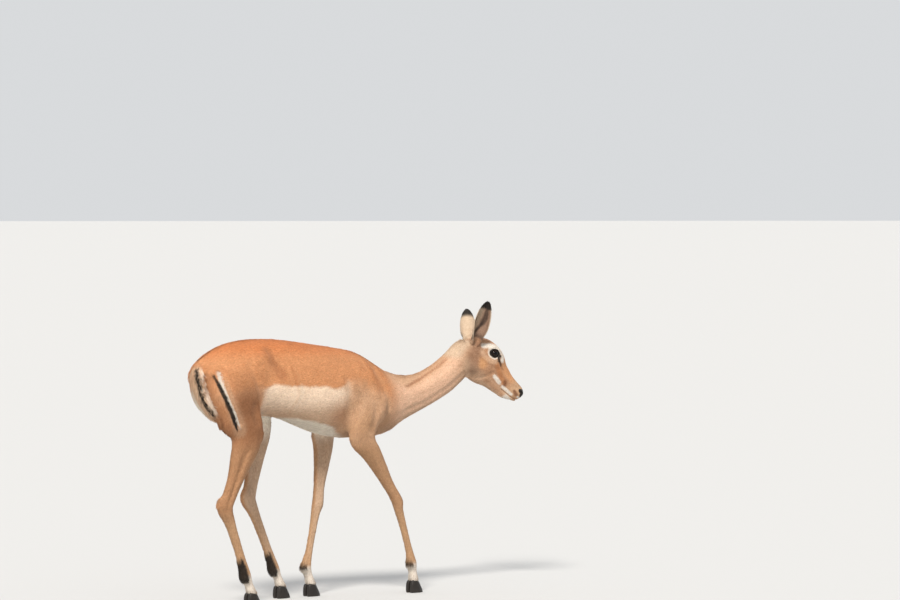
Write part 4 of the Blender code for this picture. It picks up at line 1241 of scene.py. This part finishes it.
def coatStyle(points, normals):  # length, width, lift in degrees and density of the tufts at each place
    x, y, z = points.T
    beside, up = np.abs(y), normals[:, 2]
    lengths, widths = tuftForm["lengths"], tuftForm["widths"]
    head, tail, leg = bodyParts(points)
    ahead, aside, above = headPlace(points)
    number, legAt, legGap, away = legPlace(points)
    tailAt = nearLine(points, pose["tail"])[1]
    neck = ramp(0.1, 0.2, x)
    style = [sizes["trunk"] + (sizes["neck"] - sizes["trunk"]) * neck for sizes in (lengths, widths)]
    style += [np.full(len(points), tuftForm["lift"]), 0.95 + 0.15 * neck]

    def change(share, *wanted):
        share = np.clip(share, 0, 1)
        for k, value in enumerate(wanted):
            style[k] = style[k] + (value - style[k]) * share

    change(leg, lengths["leg"], widths["leg"], 6, 1.35)
    change(leg * ramp(0.3, 0.12, z), 0.007, 0.001, 6, 1.8)
    change(head, lengths["head"], widths["head"], 6, 3)
    change(head * ramp(-0.1, -0.03, ahead), 0.0036, 0.0006, 5, 5.5)
    change(ramp(0.016, 0.008, beside) * (x < 0.05) * (z > 0.8), 0.0135, 0.0017, 9, 1.8)  # backbone
    change(neck * (1 - head) * ramp(0.75, 0.95, up), 0.015, 0.0017, 10, 2.2)  # nape
    change(neck * (1 - head) * ramp(-0.55, -0.9, up), 0.016, 0.002, 13, 1.7)  # throat
    change(ramp(0.05, 0.12, x) * ramp(0.64, 0.56, z) * (1 - leg), 0.0165, 0.0021, 14, 1.7)  # chest
    change(ramp(-0.55, -0.85, up) * (x < 0.05) * (1 - leg), 0.0155, 0.0021, 13, 1.6)  # belly
    stripe = np.minimum(stripePlace(points, "black")[0], stripePlace(points, "edge")[0])
    change(ramp(0.012, 0.006, stripe), 0.0125, 0.0012, 8, 4)
    between = ramp(-0.615, -0.65, x) * ramp(0.065, 0.045, beside) * ramp(0.6, 0.66, z) * (z < 0.82)
    change(between, 0.019, 0.0021, 15, 2.4)
    behind = ramp(-0.006, -0.012, away[:, 0]) * leg
    change(behind, 0.011, 0.0016, 13, 2.2)
    change(behind * (number >= 2) * band(z, 0.08, 0.092, 0.158, 0.172), 0.018, 0.0018, 19, 6.5)  # gland
    change(behind * (number < 2) * band(z, 0.088, 0.098, 0.115, 0.128), 0.014, 0.0017, 20, 5)
    change(leg * ramp(0.062, 0.052, z), 0.0105, 0.0011, 13, 6)  # over the hooves
    elbowGap = np.linalg.norm(np.c_[x, beside, z] - (-0.06, 0.11, 0.565), axis=1)
    change(np.exp(-(elbowGap / 0.03) ** 2), 0.015, 0.0019, 15, 2)
    change(patch(points, -0.385, 0.645, 0.03, 0.035), 0.016, 0.002, 14, 2)  # fold of the flank
    change(head * ramp(-0.06, -0.085, above) * ramp(-0.07, -0.1, ahead), 0.008, 0.001, 9, 3.4)  # jaw
    change(head * ramp(-0.05, -0.03, ahead) * ramp(-0.05, -0.058, above), 0.0036, 0.0005, 5, 7)
    change(tail, lengths["tail"], widths["tail"], 17, 9)
    change(tail * ramp(2.2, 1.2, tailAt), 0.016, 0.0019, 11, 3.5)
    change(tail * ramp(5.6, 6.6, tailAt), 0.024, 0.002, 12, 9)
    change(np.maximum(earPlace(points, -1)[3], earPlace(points, 1)[3]), lengths["ear"], widths["ear"], 7, 2.2)
    lips = ramp(0.003, 0.002, nearLine(headMirror(points), lipLine)[0])
    bare = np.maximum(nearNose(points, 1), lips)
    for side in (-1, 1):
        share, spin, inside, isEar = earPlace(points, side)
        across = np.abs(spin)
        change(isEar * inside, 0.008, 0.0007, 9, 2.2)
        change(isEar * inside * ramp(0.5, 0.7, across) * ramp(0.85, 0.6, share), 0.013, 0.0008, 12, 3.6)
        change(isEar * ramp(0.8, 0.95, across), 0.0065, 0.0006, 6, 7)
        change(isEar * ramp(0.86, 0.95, share), 0.0045, 0.0006, 5, 5)
        shape = eyeMeasure(points, side)[0]
        bare = np.maximum(bare, ramp(1.2, 1.12, shape))
        change(ramp(1.9, 1.45, shape), 0.0034, 0.0006, 6, 4.5)
    length, width, lift, density = style
    return length, width, lift, density * (1 - bare)


def growRoots():  # places on the skin, spread by area and density
    mesh = skin.data
    mesh.calc_loop_triangles()
    corners = readMesh(mesh.loop_triangles, "vertices", 3, np.int32)
    a, b, c = (skinPoints[corners[:, k]] for k in range(3))
    faceWays = np.cross(b - a, c - a)
    area = np.linalg.norm(faceWays, axis=1) / 2
    total = np.cumsum(area * coatStyle((a + b + c) / 3, unit(faceWays))[3])
    rng = np.random.default_rng(tuftForm["seed"])
    count = tuftForm["count"]  # one draw in each equal step of the running total spreads them evenly
    draw = (np.arange(count) + rng.random(count)) / count * total[-1]
    face = np.clip(np.searchsorted(total, draw), 0, len(total) - 1)
    u, v = np.sqrt(rng.random(count)), rng.random(count)
    weights = np.c_[1 - u, u * (1 - v), u * v]
    roots, ways = (sum(weights[:, k:k + 1] * values[corners[face, k]] for k in range(3))
                   for values in (skinPoints, skinNormals))
    return roots, unit(ways), rng


def lashRoots(side, rng):  # a short dark row along the upper lid
    f = tuftForm
    roots, ways, lies = [], [], []
    rise = pose["eyeRadius"] + skinForm["lidLift"]
    outward, long, high = eyeAxes(side)
    for i in range(f["lashes"]):
        turn = math.radians(20 + 145 * (i + 0.7 * (rng.random() - 0.5)) / f["lashes"])
        reach = 1.06 + 0.05 * rng.random()
        p = skinForm["eyeHalfLength"] * reach * math.cos(turn)
        q = skinForm["eyeHalfHeight"] * reach * math.sin(turn)
        out = math.sqrt(max(rise ** 2 - p * p - q * q, 1e-6))
        roots.append(eyePlace(side) + long * p + high * q + outward * out)
        way = outward * 0.75 + high * (math.sin(turn) * 0.30 - 0.25) + long * (math.cos(turn) * 0.6)
        way = unit(way + rng.normal(0, 0.13, 3))
        lies.append(way)
        ways.append(unit(np.cross(np.cross(way, outward), way) + outward * 0.05))
    count = len(roots)
    lengths = f["lashLength"] * (0.7 + 0.6 * rng.random(count))
    return [np.array(roots), np.array(ways), np.array(lies), lengths, np.full(count, f["lashWidth"]),
            np.full(count, f["lashLift"]), np.tile(coatTones["black"], (count, 1))]


def turnAbout(vectors, axes, angles):
    c, s = column(np.cos(angles)), column(np.sin(angles))
    return vectors * c + np.cross(axes, vectors) * s + axes * partAlong(axes, vectors) * (1 - c)


# A tuft is a closed flat spike of seven points: three at the root, three at the middle and the tip. Each face
# has its corners and their places across its patch, of three sides in all.
tuftFaces = (
    ((0, 2, 1), (0.2, 1.5, 2.8)), ((0, 1, 4, 3), (0, 1, 1, 0)), ((1, 2, 5, 4), (1, 2, 2, 1)),
    ((2, 0, 3, 5), (2, 3, 3, 2)), ((3, 4, 6), (0, 1, 0.5)), ((4, 5, 6), (1, 2, 1.5)), ((5, 3, 6), (2, 3, 2.5)),
)
tuftUp = (0.08, 0.08, 0.08, 0.5, 0.5, 0.5, 1)  # the points' places up the patch
tuftShades = np.array([0.86, 0.86, 0.88, 0.99, 0.99, 1.03, 1.08])
tuftLeans = np.array([-0.4, 0.4, 0, -0.4, 0.4, 0, 0])  # the light falls on a tuft nearly as on the skin


def tuftMesh(name, roots, ways, lies, lengths, widths, lifts, colours):
    count = len(roots)
    sides, lift = np.cross(ways, lies), np.radians(lifts)
    verts = np.zeros((count, 7, 3))

    def centreAt(t):
        high = lengths * np.sin(lift) * (t - 0.32 * t * t) - tuftForm["sunk"] * (1 - t)
        return roots + lies * column(lengths * np.cos(lift) * t) + ways * column(high)

    for row, (t, wide) in enumerate(((0, 0.62), (0.48, 1))):
        for k, (across, up) in enumerate(((-0.5, -0.5), (0.5, -0.5), (0, 0.5))):
            verts[:, row * 3 + k] = (centreAt(t) + sides * column(widths * wide * across)
                                     + ways * column(widths * tuftForm["thickness"] * wide * up))
    verts[:, 6] = centreAt(1)
    faces = [face for face, places in tuftFaces]
    corner = np.concatenate(faces)
    starts = np.cumsum([0] + [len(face) for face in faces])[:-1]
    step = column(np.arange(count))
    mesh = bpy.data.meshes.new(name)
    mesh.vertices.add(count * 7)
    mesh.vertices.foreach_set("co", (verts.reshape(-1, 3) + frameShift).ravel())
    mesh.loops.add(count * len(corner))
    mesh.loops.foreach_set("vertex_index", (corner + step * 7).ravel().astype(np.int32))
    mesh.polygons.add(count * len(faces))
    mesh.polygons.foreach_set("loop_start", (starts + step * len(corner)).ravel().astype(np.int32))
    # each tuft is a small patch at its root's place on the rolled-out skin: across it and from root to tip
    local = [(across / 3, tuftUp[vertex]) for face, places in tuftFaces
             for vertex, across in zip(face, places)]
    local[:3] = [(across / 3, up) for across, up in zip(tuftFaces[0][1], (0, 0.06, 0))]
    place = np.clip(unwrapPlace(roots), 0.002, 0.995)
    layer = mesh.uv_layers.new(name="OFBake")
    layer.data.foreach_set("uv", (place[:, None] + (np.array(local) - 0.5) * tuftForm["patch"]).ravel())
    mesh.update(calc_edges=True)
    paintPoints(mesh, "coatColour", (colours[:, None] * column(tuftShades)).reshape(-1, 3))
    mesh.validate()
    mesh.shade_smooth()
    facing = unit(ways[:, None] + sides[:, None] * column(tuftLeans) + lies[:, None] * 0.08)[:, corner]
    below = np.concatenate([[face in ((0, 1, 4, 3), (3, 4, 6))] * len(face) for face in faces])
    facing[:, below] = -unit(ways - lies * column(np.tan(lift)))[:, None]
    facing[:, :3] = -lies[:, None]
    mesh.normals_split_custom_set(facing.reshape(-1, 3).tolist())
    return mesh


def combed(roots, ways):  # the lie of each tuft, along the ears and down the stripes of the rump
    lies = lieOfCoat(roots, ways)
    for side in (-1, 1):
        share, spin, inside, isEar = earPlace(roots, side)
        root, tip, axis, opening = earAxes(side)
        across = np.abs(spin)
        spread = inside * ramp(0.3, 0.7, across) * ramp(0.98, 0.80, across) * 0.45
        outwards = np.cross(axis, opening) * column(np.sign(spin)) * column(spread)
        lies = np.where(column(isEar > 0.5), unit(axis - ways * partAlong(axis, ways) + outwards), lies)
    for line in stripeLines["black"]:
        gap, place, foot = nearLine(roots, line)
        share = column(ramp(0.026, 0.012, gap))
        lies = lies * (1 - share) + lineWay(line, place) * share
    return unit(lies - ways * partAlong(lies, ways))


def coatGroups(roots):  # the tufts of each piece
    x, y, z = roots.T
    head, tail, leg = bodyParts(roots)
    isEar = np.maximum(earPlace(roots, -1)[3], earPlace(roots, 1)[3]) > 0.5
    isLeg, number = ~isEar & (leg > 0.5), legPlace(roots)[0]
    groups = {"coatEars": isEar, "coatTail": ~isEar & (tail > 0.5), "coatForelegs": isLeg & (number < 2)}
    hands = (("Right", y <= 0), ("Left", y > 0))
    for hand, mine in hands:
        groups["coatHind" + hand] = isLeg & (number >= 2) & mine
        onHand = (headPlace(roots)[1] > 0) == (hand == "Left")
        groups["coatFace" + hand] = ~isEar & (head > 0.5) & (tail <= 0.5) & onHand
    rest = ~np.any(list(groups.values()), axis=0)
    groups["coatNeck"] = rest & (x > tuftForm["neckFrom"])
    trunk = rest & (x <= tuftForm["neckFrom"])
    for hand, mine in hands:
        groups["coatRump" + hand] = trunk & mine & (x < tuftForm["rumpFrom"])
        groups["coatFlank" + hand] = trunk & mine & (x >= tuftForm["rumpFrom"])
    return groups


def makeCoat():
    roots, ways, rng = growRoots()
    count = len(roots)
    lies = combed(roots, ways)
    swirl = (latticeNoise(roots, 24, 7) - 0.5) * 0.5 + rng.normal(0, math.radians(tuftForm["turn"]), count)
    lies = turnAbout(lies, ways, swirl)
    length, width, lift, density = coatStyle(roots, ways)
    length = length * (0.78 + 0.44 * rng.random(count))
    width = width * (0.80 + 0.40 * rng.random(count))
    lift = lift * (0.65 + 0.70 * rng.random(count))
    colours = coatColour(roots, ways) * (0.90 + 0.20 * rng.random((count, 1)))
    colours = colours * (1 + (rng.random((count, 3)) - 0.5) * 0.05)
    pieces = []
    for name, mine in coatGroups(roots).items():
        parts = [values[mine] for values in (roots, ways, lies, length, width, lift, colours)]
        if "Face" in name:
            parts = [np.concatenate(pair) for pair in zip(parts, lashRoots(-1 if "Right" in name else 1, rng))]
        slot = "fawn_coat" if name[4:8] in ("Fore", "Hind") else "rufous_coat"
        pieces.append(newPiece(name, tuftMesh(name, *parts), tuftMaterial))
        print(name, len(parts[0]), "tufts")
    return pieces


coat = makeCoat()
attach(skin, "root")
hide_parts(*fleshNodes, "ear_right", "ear_left")
